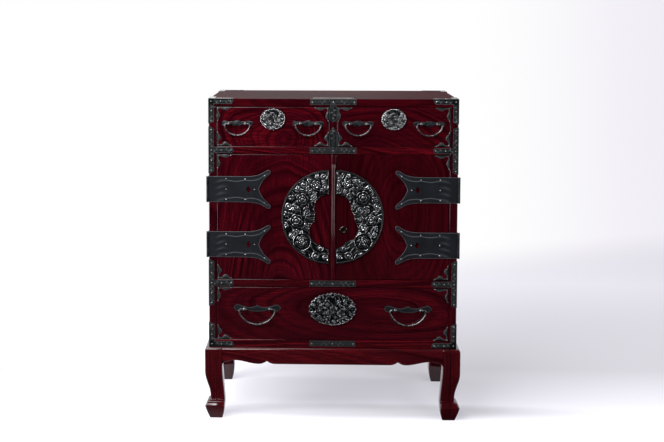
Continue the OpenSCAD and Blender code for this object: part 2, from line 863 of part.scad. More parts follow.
// A bolt in its lock case, drawn back, with a round notch that the key turns in
module lock_bolt(z, back, drop) {
    y = back - lock_t / 2;
    difference() {
        block([-bolt_w / 2, y - bolt_t / 2, z - bolt_l - bolt_fit],
              [bolt_w / 2, y + bolt_t / 2, z - bolt_fit]);
        translate([0, y + bolt_t, z - drop]) rotate([90, 0, 0])
            cylinder(r = keyhole_r, h = 2 * bolt_t, $fn = 32);
    }
}

// The door's lock lies on its side: its edge is the meeting edge of the right door
module in_door_lock() {
    translate([right_edge, 0, door_lo + door_key_z]) rotate([0, -90, 0]) children();
}

module door_lock_case() {
    color(steel) in_door_lock() lock_case(0, front_y + door_t, door_key_x - right_edge);
}

module door_lock_bolt() {
    color(steel) in_door_lock() lock_bolt(0, front_y + door_t, door_key_x - right_edge);
}

module keyhole_ring() {
    color(relief_iron) translate([door_key_x, front_y, door_lo + door_key_z]) rotate([90, 0, 0])
        rotate_extrude($fn = 64) polygon([[keyhole_r, 0], [key_ring_r, 0], [key_ring_r, 1.4],
            [key_ring_r - 2, 3], [key_ring_r - 4, 2], [keyhole_r + 1, 2.4], [keyhole_r, 1.8]]);
}

// A lock plate: an oval with a scalloped edge, a raised bead, and a flower over leaves
module oval(w, h, bumps, depth) {
    polygon([for (a = [0:4:356]) let (s = 1 - depth + depth * abs(cos(a * bumps / 2)))
        [w / 2 * s * cos(a), h / 2 * s * sin(a)]]);
}
module lock_plate(w, h, key_up) {
    difference() {
        union() {
            linear_extrude(lock_plate_t) oval(w, h, 20, 0.03);
            linear_extrude(lock_plate_t + lock_relief * 0.4) difference() {
                oval(w - 5, h - 5, 4, 0);
                oval(w - 12, h - 12, 4, 0);
            }
            translate([0, 0, lock_plate_t]) {
                for (s = [-1, 1]) translate([s * w * 0.25, -h * 0.06, 0]) {
                    cylinder(r = h * 0.15, h = lock_relief * 0.6, $fn = 32);
                    cylinder(r = h * 0.08, h = lock_relief, $fn = 32);
                }
                for (i = [0:4]) translate([0, -h * 0.16, 0]) rotate(72 * i + 18)
                    translate([h * 0.11, 0, 0])
                        cylinder(r = h * 0.08, h = lock_relief * 0.8, $fn = 24);
            }
        }
        translate([0, key_up, -1]) cylinder(r = keyhole_r, h = 30, $fn = 32);
    }
}

// Drawers. Each is drawn from the two X values and two Z values of its opening.
left_bay = [-inner_x, -partition_x];
right_bay = [partition_x, inner_x];
lower_bay = [-inner_x, inner_x];
upper_z = [upper_lo, upper_hi];
lower_z = [floor_z, lower_top];
function front_x(bay) = [bay[0] + drawer_gap, bay[1] - drawer_gap];
function front_z(z) = [z[0] + slide_gap, z[1] - drawer_gap];
function middle(pair) = (pair[0] + pair[1]) / 2;
side_step = 0.6;
wall_tongue = 6;

module drawer_front(bay, z, handle_x, handle_z, post_x) {
    x = front_x(bay);
    h = front_z(z);
    mid = middle(bay);
    color(lacquer) difference() {
        block([x[0], front_y, h[0]], [x[1], front_y + front_t, h[1]]);
        translate([mid, 0, 0]) lock_pocket(h[1], front_y + front_t, inlay_fit);
        keyhole(mid, h[1] - keyhole_drop, front_t);
        for (s = [-1, 1], p = [-1, 1])
            translate([mid + s * handle_x + p * post_x, front_y - 1, z[0] + handle_z])
                rotate([-90, 0, 0]) cylinder(r = shank_r + glue_fit, h = front_t + 2, $fn = 32);
        wall_tongues(bay, z, glue_fit);
        drawer_floor(bay, z, glue_fit);
    }
}

// The front ends of the side walls, let into the drawer's front
module wall_tongues(bay, z, grow) {
    x = front_x(bay);
    y = front_y + front_t;
    for (s = [0, 1]) let (x0 = s ? x[1] - side_step - wall_t : x[0] + side_step)
        block([x0 + wall_t * 0.25 - grow, y - wall_tongue - grow, z[0] + slide_gap + 6 - grow],
              [x0 + wall_t * 0.75 + grow, y + grow, z[1] - wall_drop - 6 + grow]);
}

// The drawer's bottom panel, which stands in grooves in the walls and the front
module drawer_floor(bay, z, grow) {
    x = front_x(bay);
    b = side_step + wall_t / 2;
    z0 = z[0] + slide_gap + bottom_up;
    block([x[0] + b - grow, front_y + front_t - wall_tongue - grow, z0 - grow],
          [x[1] - b + grow, front_y + drawer_d + grow, z0 + drawer_bottom_t + grow]);
}

module drawer_walls(bay, z) {
    x = front_x(bay);
    y = front_y + front_t;
    z0 = z[0] + slide_gap;
    back_z = z0 + bottom_up + drawer_bottom_t;
    color(plain_wood) {
        for (s = [0, 1]) let (x0 = s ? x[1] - side_step - wall_t : x[0] + side_step) difference() {
            union() {
                block([x0, y, z0], [x0 + wall_t, front_y + drawer_d, z[1] - wall_drop]);
                intersection() {
                    wall_tongues(bay, z, 0);
                    block([x0, y - wall_tongue, z0], [x0 + wall_t, y, z[1]]);
                }
            }
            drawer_floor(bay, z, glue_fit);
        }
        block([x[0] + side_step + wall_t, front_y + drawer_d - wall_t, back_z + glue_fit],
              [x[1] - side_step - wall_t, front_y + drawer_d, z[1] - wall_drop - 4]);
    }
}

module drawer_bottom(bay, z) {
    color(plain_wood) drawer_floor(bay, z, 0);
}

module drawer_corner_irons(bay, z) {
    color(iron) small_corners(front_x(bay), front_z(z), [0, 1]);
}

module drawer_lock_plate(bay, z, w, h, up) {
    key_up = front_z(z)[1] - keyhole_drop - (z[0] + up);
    color(relief_iron) translate([middle(bay), front_y, z[0] + up]) rotate([90, 0, 0])
        lock_plate(w, h, key_up);
}

module drawer_lock_case(bay, z) {
    color(steel) translate([middle(bay), 0, 0])
        lock_case(front_z(z)[1], front_y + front_t, keyhole_drop);
}

module drawer_lock_bolt(bay, z) {
    color(steel) translate([middle(bay), 0, 0])
        lock_bolt(front_z(z)[1], front_y + front_t, keyhole_drop);
}

// A handle's backing plate, with holes for its posts: a narrow bar that swells at its middle,
// its posts and its ends
module backing_outline(w, h, post_x) {
    difference() {
        union() {
            for (m = [0, 1]) mirror([m, 0]) {
                translate([0, -h * 0.28]) square([w / 2 - h * 0.3, h * 0.56]);
                translate([post_x, 0]) circle(h * 0.4, $fn = 32);
                translate([w / 2 - h * 0.5, h * 0.06]) circle(h * 0.44, $fn = 32);
                translate([w / 2 - h * 0.2, 0]) circle(h * 0.2, $fn = 24);
            }
            circle(h / 2, $fn = 32);
        }
        for (p = [-1, 1]) translate([p * post_x, 0]) circle(shank_r + glue_fit, $fn = 32);
    }
}

// A post: a round eye in front of the plate, and a shank through the wood to a round nut
nut_r = 6;
nut_t = 3;
seat = 0.05;
module post(eye_r, wire_r) {
    neck_r = shank_r + 0.8;
    difference() {
        rotate([90, 0, 0]) rotate_extrude($fn = 48) {
            translate([0, -front_t - nut_t]) square([nut_r, nut_t]);
            translate([0, -front_t - 1]) square([shank_r, front_t + 2 + plate_t]);
            translate([0, plate_t + seat]) square([neck_r, post_out - plate_t - seat]);
            intersection() {
                translate([0, post_out]) circle(eye_r, $fn = 48);
                translate([0, post_out - eye_r]) square([eye_r, 2 * eye_r]);
            }
        }
        translate([-eye_r - 1, -post_out, 0]) rotate([0, 90, 0])
            cylinder(r = wire_r + bail_fit, h = 2 * eye_r + 2, $fn = 32);
    }
}

module handle_mount(w, h, post_x, eye_r, wire_r) {
    front_plate(0, plate_t) backing_outline(w, h, post_x);
    for (p = [-1, 1]) translate([p * post_x, 0, 0]) post(eye_r, wire_r);
}

module handle_mounts(bay, z, handle_x, handle_z, w, h, post_x, eye_r, wire_r) {
    color(iron) for (s = [-1, 1])
        translate([middle(bay) + s * handle_x, front_y, z[0] + handle_z])
            handle_mount(w, h, post_x, eye_r, wire_r);
}

// A bail: straight ends in the posts' eyes, a bend down on each side, a side arc and a flat
// bottom arc that lie in line where they meet, under small beads. a and b are the half width
// and the drop of the wire's centre line.
bead = 0.35;
bead_gap = 0.25;
module ring_part(x, z, r, from, sweep, wire_r) {
    cut = bead_gap / r * 180 / PI;
    translate([x, 0, z]) rotate([90, 0, 0]) rotate(from + cut)
        rotate_extrude(angle = sweep - 2 * cut, $fn = 96) translate([r, 0]) circle(wire_r, $fn = 32);
}
module bail(w, h, post_x, eye_r, wire_r) {
    a = w / 2 - wire_r;
    b = h - wire_r;
    bend = 6;
    side_r = b * 0.5;
    low_r = (pow(a - side_r, 2) + pow(b - bend, 2) - pow(side_r, 2)) / (2 * (b - bend - side_r));
    turn = atan2(low_r - b + bend, a - side_r);
    stub = post_x - eye_r - 1;
    ring_part(0, low_r - b, low_r, turn - 180, 180 - 2 * turn, wire_r);
    for (m = [0, 1]) mirror([m, 0, 0]) {
        ring_part(a - bend, -bend, bend, 0, 90, wire_r);
        ring_part(a - side_r, -bend, side_r, -turn, turn, wire_r);
        translate([stub, 0, 0]) rotate([0, 90, 0])
            cylinder(r = wire_r, h = a - bend - bead_gap - stub, $fn = 32);
        for (at = [[a - bend, 0], [a, -bend],
                   [low_r * cos(turn), low_r - b - low_r * sin(turn)]])
            translate([at[0], 0, at[1]]) sphere(wire_r + bead, $fn = 32);
    }
}

module placed_bail(bay, z, handle_x, handle_z, w, h, post_x, eye_r, wire_r) {
    color(iron) translate([middle(bay) + handle_x, front_y - post_out, z[0] + handle_z])
        bail(w, h, post_x, eye_r, wire_r);
}

module small_bail(bay, side) {
    placed_bail(bay, upper_z, side * small_handle_x, small_handle_z, small_bail_w, small_bail_h,
                small_post_x, small_eye_r, small_wire_r);
}

module large_bail(side) {
    placed_bail(lower_bay, lower_z, side * large_handle_x, large_handle_z, large_bail_w,
                large_bail_h, large_post_x, large_eye_r, large_wire_r);
}

module small_front(bay) {
    drawer_front(bay, upper_z, small_handle_x, small_handle_z, small_post_x);
}

module small_mounts(bay) {
    handle_mounts(bay, upper_z, small_handle_x, small_handle_z, small_plate_w, small_plate_h,
                  small_post_x, small_eye_r, small_wire_r);
}

module small_lock_plate(bay) {
    drawer_lock_plate(bay, upper_z, small_lock_w, small_lock_h, small_lock_z);
}

stand_front_legs();
stand_back_legs();
stand_long_aprons();
stand_cross_aprons();
bottom_board();
top_board();
left_side_board();
right_side_board();
upper_shelf();
lower_shelf();
centre_partition();
back_panel();
inner_shelf();
case_corner_irons();
case_edge_irons();
hinge_side_plates();
hinge_pins();
left_door_board();
meeting_bar();
left_half_disc();
left_door_straps();
left_door_corner_irons();
right_door_board();
right_half_disc();
right_door_straps();
right_door_corner_irons();
keyhole_ring();
door_lock_case();
door_lock_bolt();
small_front(left_bay);  // left_drawer_front
drawer_walls(left_bay, upper_z);  // left_drawer_walls
drawer_bottom(left_bay, upper_z);  // left_drawer_bottom
drawer_corner_irons(left_bay, upper_z);  // left_drawer_corner_irons
small_lock_plate(left_bay);  // left_drawer_lock_plate
drawer_lock_case(left_bay, upper_z);  // left_drawer_lock_case
drawer_lock_bolt(left_bay, upper_z);  // left_drawer_lock_bolt
small_mounts(left_bay);  // left_drawer_handle_mounts
small_bail(left_bay, -1);  // left_drawer_bail_a
small_bail(left_bay, 1);  // left_drawer_bail_b
small_front(right_bay);  // right_drawer_front
drawer_walls(right_bay, upper_z);  // right_drawer_walls
drawer_bottom(right_bay, upper_z);  // right_drawer_bottom
drawer_corner_irons(right_bay, upper_z);  // right_drawer_corner_irons
small_lock_plate(right_bay);  // right_drawer_lock_plate
drawer_lock_case(right_bay, upper_z);  // right_drawer_lock_case
drawer_lock_bolt(right_bay, upper_z);  // right_drawer_lock_bolt
small_mounts(right_bay);  // right_drawer_handle_mounts
small_bail(right_bay, -1);  // right_drawer_bail_a
small_bail(right_bay, 1);  // right_drawer_bail_b
drawer_front(lower_bay, lower_z, large_handle_x, large_handle_z, large_post_x);  // lower_drawer_front
drawer_walls(lower_bay, lower_z);  // lower_drawer_walls
drawer_bottom(lower_bay, lower_z);  // lower_drawer_bottom
drawer_corner_irons(lower_bay, lower_z);  // lower_drawer_corner_irons
drawer_lock_plate(lower_bay, lower_z, large_lock_w, large_lock_h, large_lock_z);  // lower_drawer_lock_plate
drawer_lock_case(lower_bay, lower_z);  // lower_drawer_lock_case
drawer_lock_bolt(lower_bay, lower_z);  // lower_drawer_lock_bolt
handle_mounts(lower_bay, lower_z, large_handle_x, large_handle_z, large_plate_w,  // lower_drawer_handle_mounts
                  large_plate_h, large_post_x, large_eye_r, large_wire_r);
large_bail(-1);  // lower_drawer_bail_a
large_bail(1);  // lower_drawer_bail_b
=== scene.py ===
"""The looks of a lacquered tansu chest, built round its solid model.

Shapes are worked out in millimetres and put into meshes in metres. +X is the viewer's right, the
front faces -Y, +Z is up. A part is a tuple: points in millimetres, groups of faces and, where it
has one, how far each point is rubbed bright.
"""

from math import atan2, cos, pi, radians, sin, sqrt

import bmesh
import bpy
import numpy as np
from mathutils import Matrix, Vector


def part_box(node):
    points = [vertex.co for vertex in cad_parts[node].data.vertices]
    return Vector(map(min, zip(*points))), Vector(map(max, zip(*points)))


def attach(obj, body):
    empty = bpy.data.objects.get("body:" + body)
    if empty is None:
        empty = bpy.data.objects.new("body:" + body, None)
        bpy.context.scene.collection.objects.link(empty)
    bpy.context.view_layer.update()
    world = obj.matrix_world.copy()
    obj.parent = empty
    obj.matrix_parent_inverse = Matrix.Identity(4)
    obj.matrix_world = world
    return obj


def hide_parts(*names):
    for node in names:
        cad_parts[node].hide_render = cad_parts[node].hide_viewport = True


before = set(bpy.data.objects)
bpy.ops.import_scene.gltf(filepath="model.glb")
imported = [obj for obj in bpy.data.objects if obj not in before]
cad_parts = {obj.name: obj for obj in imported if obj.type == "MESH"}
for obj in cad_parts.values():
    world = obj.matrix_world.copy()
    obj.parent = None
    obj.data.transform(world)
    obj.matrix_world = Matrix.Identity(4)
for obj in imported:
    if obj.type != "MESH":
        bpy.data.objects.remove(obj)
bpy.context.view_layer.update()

MM = 0.001
DRAWERS = ("left_drawer", "right_drawer", "lower_drawer")


def limits(node):
    """Lowest and highest corner of a solid of the frame, in millimetres."""
    low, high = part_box(node)
    return np.array(low) / MM, np.array(high) / MM


# Planes and heights of the case and its stand
HALF_W = -limits("left_side_board")[0][0]
FRONT, BACK = limits("left_side_board")[0][1], limits("left_side_board")[1][1]
STAND_TOP = limits("bottom_board")[0][2]
CASE_TOP = limits("top_board")[1][2]
BOARD = CASE_TOP - limits("top_board")[0][2]
UPPER_MID = limits("upper_shelf")[0][2] + BOARD / 2
LOWER_MID = limits("lower_shelf")[0][2] + BOARD / 2
STAND_X = limits("stand_front_legs")[1][0]
STAND_FRONT, STAND_BACK = limits("stand_front_legs")[0][1], limits("stand_back_legs")[1][1]
STAND_MID = (STAND_FRONT + STAND_BACK) / 2


# Shapes

def eased(n):
    """n + 1 numbers from 0 to 1 that crowd to both ends: half of 1 less a cosine's half wave."""
    return (1 - np.cos(np.linspace(0, pi, n + 1))) / 2


def smooth(t):
    """Three t squared less two t cubed, for t held between 0 and 1."""
    t = np.clip(t, 0, 1)
    return t * t * (3 - 2 * t)


def bell(x, middle, width):
    """One at the middle, falling off on both sides as e to the minus square of the distance."""
    return np.exp(-((x - middle) / width) ** 2)


def through(points, x):
    """Value at x of a smooth line through points: a cubic between neighbours, with the mean
    slope of the two sides at each point."""
    px, py = np.array(points, float).T
    slope = np.gradient(py, px)
    k = np.clip(np.searchsorted(px, x) - 1, 0, len(px) - 2)
    step = px[k + 1] - px[k]
    t = np.clip((x - px[k]) / step, 0, 1)
    start = (1 + 2 * t) * (1 - t) ** 2 * py[k] + t * (1 - t) ** 2 * step * slope[k]
    return start + t * t * (3 - 2 * t) * py[k + 1] - t * t * (1 - t) * step * slope[k + 1]


def lift(d, thick, r):
    """Height of a plate's face at a distance d from its rim: a quarter round of radius r."""
    t = 1 - np.clip(d / r, 0, 1)
    return thick - r + r * np.sqrt(1 - t * t)


def quads(rows, cols, wrap_rows=False, wrap_cols=False):
    """The faces of a grid of points numbered row by row, closed on itself where it wraps."""
    i, j = np.meshgrid(np.arange(rows - (not wrap_rows)), np.arange(cols - (not wrap_cols)),
                       indexing="ij")
    i2, j2 = (i + 1) % rows, (j + 1) % cols
    return np.stack((i * cols + j, i * cols + j2, i2 * cols + j2, i2 * cols + j), -1).reshape(-1, 4)


def plate(u, v, top, rub=None, keep=None):
    """Closed plate over a grid of places (u, v): its face lies at the height top over the plane,
    its underside at 0, and walls stand along its rim and round what keep leaves out."""
    faces = quads(*u.shape)
    if keep is not None:
        faces = faces[keep]
    edges = np.concatenate([faces[:, [k, (k + 1) % 4]] for k in range(4)])
    _, first, count = np.unique(np.sort(edges, 1), axis=0, return_index=True, return_counts=True)
    rim = edges[first[count == 1]]
    n = u.size
    walls = np.column_stack((rim[:, 1], rim[:, 0], rim[:, 0] + n, rim[:, 1] + n))
    face = np.column_stack((u.ravel(), v.ravel(), top.ravel()))
    part = np.vstack((face, face * (1, 1, 0))), [faces, faces[:, ::-1] + n, walls]
    return part if rub is None else (*part, np.tile(rub.ravel(), 2))


def disc(edge, height, rows, inner=None, span=(0, 2 * pi), cols=180):
    """Plate in polar places: at each bearing it runs from the radius inner to the radius edge,
    and height is a function of place and of the distance to its rim."""
    whole = inner is None
    a = np.linspace(span[0], span[1], cols + 1)[:-1 if whole else None][None, :]
    t = np.unique(np.concatenate((np.linspace(0, 1, rows), [0.006, 0.985, 0.995])))[:, None]
    low = 0 * a if whole else inner(a)
    r = low + (edge(a) - low) * t
    u, v = r * np.cos(a), r * np.sin(a)
    rim = edge(a) - r
    if not whole:
        rim = np.minimum(np.minimum(rim, r - low), np.minimum(a - span[0], span[1] - a) * r)
    top = height(u, v, rim)
    if whole:
        u, v, top = (np.concatenate((g, g[:, :1]), 1) for g in (u, v, top))
    return plate(u, v, top), top


def loft(rings):
    """Skin over rings of points, each closed on itself, capped at both ends."""
    rows, cols = rings.shape[:2]
    loop = np.arange(cols)
    return rings.reshape(-1, 3), [quads(rows, cols, wrap_cols=True), loop[None, ::-1],
                                  loop[None] + (rows - 1) * cols]


def tube(path, radius):
    """Round bar along a path in the X-Z plane: circles across the path, of the given radii."""
    along = np.gradient(path, axis=0)
    along /= np.linalg.norm(along, axis=1)[:, None]
    across = np.column_stack((-along[:, 2], np.zeros(len(path)), along[:, 0]))
    a = np.linspace(0, 2 * pi, 17)[:-1]
    ring = across[:, None] * np.cos(a)[:, None] + np.array((0, 1, 0)) * np.sin(a)[:, None]
    return loft(path[:, None] + ring * np.asarray(radius).reshape(-1, 1, 1))


def revolved(r, h, sides):
    """Rings of a profile's radii and heights, carried round the height axis in a circle."""
    a = np.linspace(0, 2 * pi, sides + 1)[:-1]
    return np.stack((r[:, None] * np.cos(a), r[:, None] * np.sin(a), h[:, None] + 0 * a), -1)


def turned(profile, sides=20):
    """Solid turned on the height axis, from a profile of (radius, height)."""
    return loft(revolved(*np.asarray(profile, float).T, sides))


def nails(places, height, r=1.9):
    """Round nail heads at places (u, v): a circle drawn in to nothing as it rises, many times."""
    up = radians(1) * np.array((0, 0, 35, 65, 90))
    rr = r * np.array((0.0, 1, 1, 1, 1)) * np.cos(up)
    head = revolved(rr, height + 0.75 * r * np.sin(up), 8).reshape(-1, 3)
    at = np.column_stack((np.asarray(places, float), np.zeros(len(places))))
    starts = np.arange(len(at))[:, None, None] * len(head)
    return (at[:, None] + head).reshape(-1, 3), [
        (quads(5, 8, wrap_cols=True) + starts).reshape(-1, 4)]


def box_bar(low, high, r=1.5):
    """Bar along X with its four long edges rounded: a rounded rectangle carried along."""
    a = np.radians(np.arange(0, 360, 15))
    mid, half = (low[1:] + high[1:]) / 2, (high[1:] - low[1:]) / 2 - r
    y = mid[0] + np.sign(np.round(np.cos(a + 0.13), 3)) * half[0] + r * np.cos(a)
    z = mid[1] + np.sign(np.round(np.sin(a + 0.13), 3)) * half[1] + r * np.sin(a)
    x = np.array((low[0], low[0] + 1, high[0] - 1, high[0]))
    return loft(np.stack((x[:, None] + 0 * y, y + 0 * x[:, None], z + 0 * x[:, None]), -1))


# Places: from a plate's own plane, with its height as the third number, onto the chest

def put(part, *places):
    """A part with its points brought through one place after another."""
    for place in places:
        part = (place(part[0]), *part[1:])
    return part


def shift(du, dv, su=1, sv=1):
    """Moves a part in its plane, turned over left to right or top to bottom by -1."""
    return lambda p: p * (su, sv, 1) + (du, dv, 0)


def on_front(p):
    return np.column_stack((p[:, 0], FRONT - p[:, 2], p[:, 1]))


def on_left(p):
    return np.column_stack((-HALF_W - p[:, 2], p[:, 0], p[:, 1]))


def on_top(p):
    return np.column_stack((p[:, 0], p[:, 1], CASE_TOP + p[:, 2]))


def crossed(p):
    return p[:, [1, 0, 2]]


def flip_x(p):
    return p * (-1, 1, 1)


def flip_y(p):
    return np.column_stack((p[:, 0], 2 * STAND_MID - p[:, 1], p[:, 2]))


def both(parts, flip=flip_x):
    """Parts, and then the same parts on the other side."""
    return [*parts, *(put(part, flip) for part in parts)]


def piece(name, body, finish, parts, stands_for=(), crease=38):
    """One mesh of several parts, welded, facing outward, that rides on a body."""
    starts = np.cumsum([0] + [len(part[0]) for part in parts])
    faces = [face for part, start in zip(parts, starts) for group in part[1]
             for face in (group + start).tolist()]
    mesh = bpy.data.meshes.new(name)
    mesh.from_pydata(np.vstack([part[0] for part in parts]) * MM, [], faces)
    rub = [part[2] if len(part) > 2 else np.zeros(len(part[0])) for part in parts]
    mesh.attributes.new("rub", "FLOAT", "POINT").data.foreach_set("value", np.concatenate(rub))
    shell = bmesh.new()
    shell.from_mesh(mesh)
    bmesh.ops.delete(shell, geom=[v for v in shell.verts if not v.link_faces], context="VERTS")
    bmesh.ops.remove_doubles(shell, verts=shell.verts, dist=0.02 * MM)
    bmesh.ops.recalc_face_normals(shell, faces=shell.faces)
    shell.to_mesh(mesh)
    shell.free()
    mesh.shade_smooth()
    mesh.set_sharp_from_angle(angle=radians(crease))
    mesh.materials.append(finish)
    obj = bpy.data.objects.new(name, mesh)
    bpy.context.scene.collection.objects.link(obj)
    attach(obj, body)
    if stands_for:
        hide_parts(*stands_for)


# Materials

SOFT = "SMOOTHSTEP"


def linear(code):
    """A linear colour from an sRGB hex value."""
    rgb = np.array([int(code[k:k + 2], 16) for k in (1, 3, 5)]) / 255
    rgb = np.where(rgb <= 0.04045, rgb / 12.92, ((rgb + 0.055) / 1.055) ** 2.4)
    return (*rgb, 1.0)


def add(tree, kind, links=None, stops=None, **settings):
    """Adds a node: settings by name, and its inputs from values, from other nodes' outputs or
    from nodes, of which the first output is meant."""
    node = tree.nodes.new("ShaderNode" + kind)
    for key, value in settings.items():
        setattr(node, key, value)
    for key, value in (links or {}).items():
        if isinstance(value, bpy.types.Node):
            value = value.outputs[0]
        if isinstance(value, bpy.types.NodeSocket):
            tree.links.new(value, node.inputs[key])
        else:
            node.inputs[key].default_value = value
    if stops:
        points = node.color_ramp.elements
        while len(points) < len(stops):
            points.new(0.5)
        for point, (place, colour) in zip(points, stops):
            point.position, point.color = place, linear(colour)
    return node


def maths(tree, operation, *values):
    return add(tree, "Math", dict(enumerate(values)), operation=operation)


def vectors(tree, operation, *values):
    return add(tree, "VectorMath", dict(enumerate(values)), operation=operation)


def ranged(tree, value, low, high, to_low=0.0, to_high=1.0, kind="LINEAR"):
    """A value brought from one range to another, held within it."""
    return add(tree, "MapRange", {"Value": value, "From Min": low, "From Max": high,
                                  "To Min": to_low, "To Max": to_high}, interpolation_type=kind)


def noise(tree, where, scale, detail, space="3D", **more):
    return add(tree, "TexNoise", {"Vector": where, "Scale": scale, "Detail": detail, **more},
               noise_dimensions=space)


def drawn_out(tree, here, grain, across, along):
    """Places scaled by one number across the grain and by another along it."""
    stretch = [across] * 3
    stretch["XYZ".index(grain)] = along
    return add(tree, "Mapping", {"Vector": here, "Scale": stretch})


def ramp(tree, value, *stops):
    return add(tree, "ValToRGB", {"Fac": value}, stops)


def bump(tree, height, strength, depth, **more):
    return add(tree, "Bump", {"Height": height, "Strength": strength, "Distance": depth * MM,
                              **more})


def rubbed(tree):
    """How far the piece's surface is rubbed bright, from 0 to 1."""
    return add(tree, "Attribute", attribute_name="rub").outputs["Fac"]


def new_material(name):
    """A material without nodes, its tree, and places on the object."""
    material = bpy.data.materials.new(name)
    material.use_nodes = True
    tree = material.node_tree
    tree.nodes.clear()
    return material, tree, add(tree, "TexCoord").outputs["Object"]


def shade(tree, links):
    """Ends a material with its shader, whose inputs are given by name."""
    add(tree, "OutputMaterial", {"Surface": add(tree, "BsdfPrincipled", links)})


def figured_lacquer(name, grain, heart, flat, ring=10.0, seed=0.0, early="#3a040b",
                    mid="#230207", deep=0.8, warp=0.08, satin_top=False):
    """Zelkova wood under wiped red lacquer: the grain's rings show as soft dark lines of uneven
    width round the heart of the figure, over fine fibres and broad patches of brighter red,
    under a clear glossy coat. heart is the figure's middle in X, Y, Z; flat is how much the rings
    are drawn out along the grain; ring is their spacing in millimetres; early, mid and a nearly
    black red are the colours; deep is the depth of the darkest lines; warp is how far the rings
    wander, in metres. satin_top leaves out the coat, and the upward faces are unpolished."""
    material, tree, here = new_material(name)
    squash = np.array((1.0, 0.35, 1.0))
    squash["XYZ".index(grain)] = flat
    body = add(tree, "Mapping", {"Vector": here, "Scale": squash.tolist(),
                                 "Location": (-np.array(heart) * MM * squash).tolist()})

    def slow(scale, shift):
        """Slow noise on the figure, another one for each shift."""
        return noise(tree, body, scale, 2.0, "4D", W=seed + shift)

    def fine(across, along, low):
        """Fine noise along the grain, from low to a little over 1."""
        fibre = noise(tree, drawn_out(tree, here, grain, across, along), 1.0, 2.0)
        return ranged(tree, fibre, 0.36, 0.6, low, 1.1)

    def times(one, other):
        return maths(tree, "MULTIPLY", one, other)

    bend = noise(tree, body, 5.0, 1.0, "4D", W=seed, Roughness=0.4).outputs["Color"]
    warped = vectors(tree, "MULTIPLY_ADD", bend, (warp,) * 3, body)
    centred = vectors(tree, "ADD", warped, (-warp / 2,) * 3)
    radius = vectors(tree, "LENGTH", centred).outputs["Value"]
    count = maths(tree, "MULTIPLY_ADD", radius, 1 / (ring * MM), times(slow(9.0, 3), 2.0))
    # Rings of uneven width and depth: noise in one dimension, read along the count of rings
    rings = add(tree, "TexNoise", {"W": count, "Scale": 1.0, "Detail": 2.0, "Roughness": 0.6},
                noise_dimensions="1D")
    amount = add(tree, "MixRGB", {"Fac": ranged(tree, slow(9.0, 7), 0.36, 0.62, 0.25, deep),
                                  "Color1": linear("#c4c4c4"),
                                  "Color2": ranged(tree, rings, 0.32, 0.58)})
    fibres = times(fine(240.0, 11.0, 0.8), fine(620.0, 26.0, 0.66))
    patches = ranged(tree, slow(8.0, 11), 0.32, 0.68, 0.6, 1.3)
    toned = times(times(amount, fibres), patches)
    polish = ranged(tree, fibres, 0.33, 1.2, 0.62, 0.5)
    if satin_top:
        facing = add(tree, "SeparateXYZ", {"Vector": add(tree, "NewGeometry").outputs["Normal"]})
        polish = ranged(tree, facing.outputs["Z"], 0.4, 0.9, 0.12, 0.5)
    shade(tree, {"IOR": 1.5, "Coat Weight": 0.0 if satin_top else 1.0, "Coat Roughness": 0.07,
                 "Coat IOR": 1.5, "Specular IOR Level": 0.005 if satin_top else 0.0,
                 "Base Color": ramp(tree, toned, (0.02, "#140003"), (0.42, mid), (1.0, early)),
                 "Roughness": polish, "Normal": bump(tree, fibres, 0.25, 0.1)})
    return material


def plain_wood(name, grain, pale, deep):
    """Unlacquered paulownia, planed: pale straight grain in soft bands 4 mm apart, no gloss."""
    material, tree, here = new_material(name)
    streaks = noise(tree, drawn_out(tree, here, grain, 250.0, 6.0), 1.0, 4.0, Distortion=0.4)
    shade(tree, {"IOR": 1.45, "Specular IOR Level": 0.25,
                 "Base Color": ramp(tree, streaks, (0.35, deep), (0.62, pale)),
                 "Roughness": ranged(tree, streaks, 0.0, 1.0, 0.7, 0.55),
                 "Normal": bump(tree, streaks, 0.3, 0.2)})
    return material


def black_iron(name, low, high, chased=0.0, rough=0.42, sheen=0.2):
    """Hand-hammered sheet iron, baked black: a soft blue-grey sheen over shallow hammer marks
    about 9 mm across, and chased ornament about 5 mm across where chased is over 0."""
    material, tree, here = new_material(name)
    cloud = noise(tree, here, 28.0, 3.0)
    scrolls = add(tree, "TexVoronoi", {"Vector": here, "Scale": 190.0, "Smoothness": 0.6},
                  feature="SMOOTH_F1")
    cut = ranged(tree, scrolls, 0.15, 0.6, 1.0, 1.0 - chased)
    tone = ramp(tree, maths(tree, "MULTIPLY", cloud, cut), (0.2, low), (0.75, high))
    rub = rubbed(tree)
    dents = bump(tree, noise(tree, here, 110.0, 3.0), 0.4, 0.4)
    shade(tree, {"IOR": 1.5, "Specular IOR Level": sheen, "Metallic": rub,
                 "Base Color": add(tree, "MixRGB", {"Fac": rub, "Color1": tone,
                                                    "Color2": linear("#85888c")}),
                 "Roughness": ranged(tree, cloud, 0.3, 0.7, rough + 0.08, rough - 0.06),
                 "Normal": bump(tree, cut, min(1.0, chased * 1.6), 0.5, Normal=dents)})
    return material


def rubbed_iron(name, ground="#010102", middle="#0a0b0d", bright="#d2d5da"):
    """Cast iron, blackened and rubbed back: the ridges of its relief are bare silvery metal and
    its hollows stay black. The piece's rub attribute is 1 on the ridges."""
    material, tree, here = new_material(name)
    grit = noise(tree, here, 420.0, 3.0)
    worn = ranged(tree, maths(tree, "MULTIPLY_ADD", grit, 0.25, rubbed(tree)), 0.12, 1.12)
    shade(tree, {"Specular IOR Level": 0.12, "Metallic": ranged(tree, worn, 0.2, 0.5),
                 "Base Color": ramp(tree, worn, (0.0, ground), (0.35, middle), (1.0, bright)),
                 "Roughness": ranged(tree, worn, 0.0, 1.0, 0.38, 0.22),
                 "Normal": bump(tree, grit, 0.3, 0.25)})
    return material


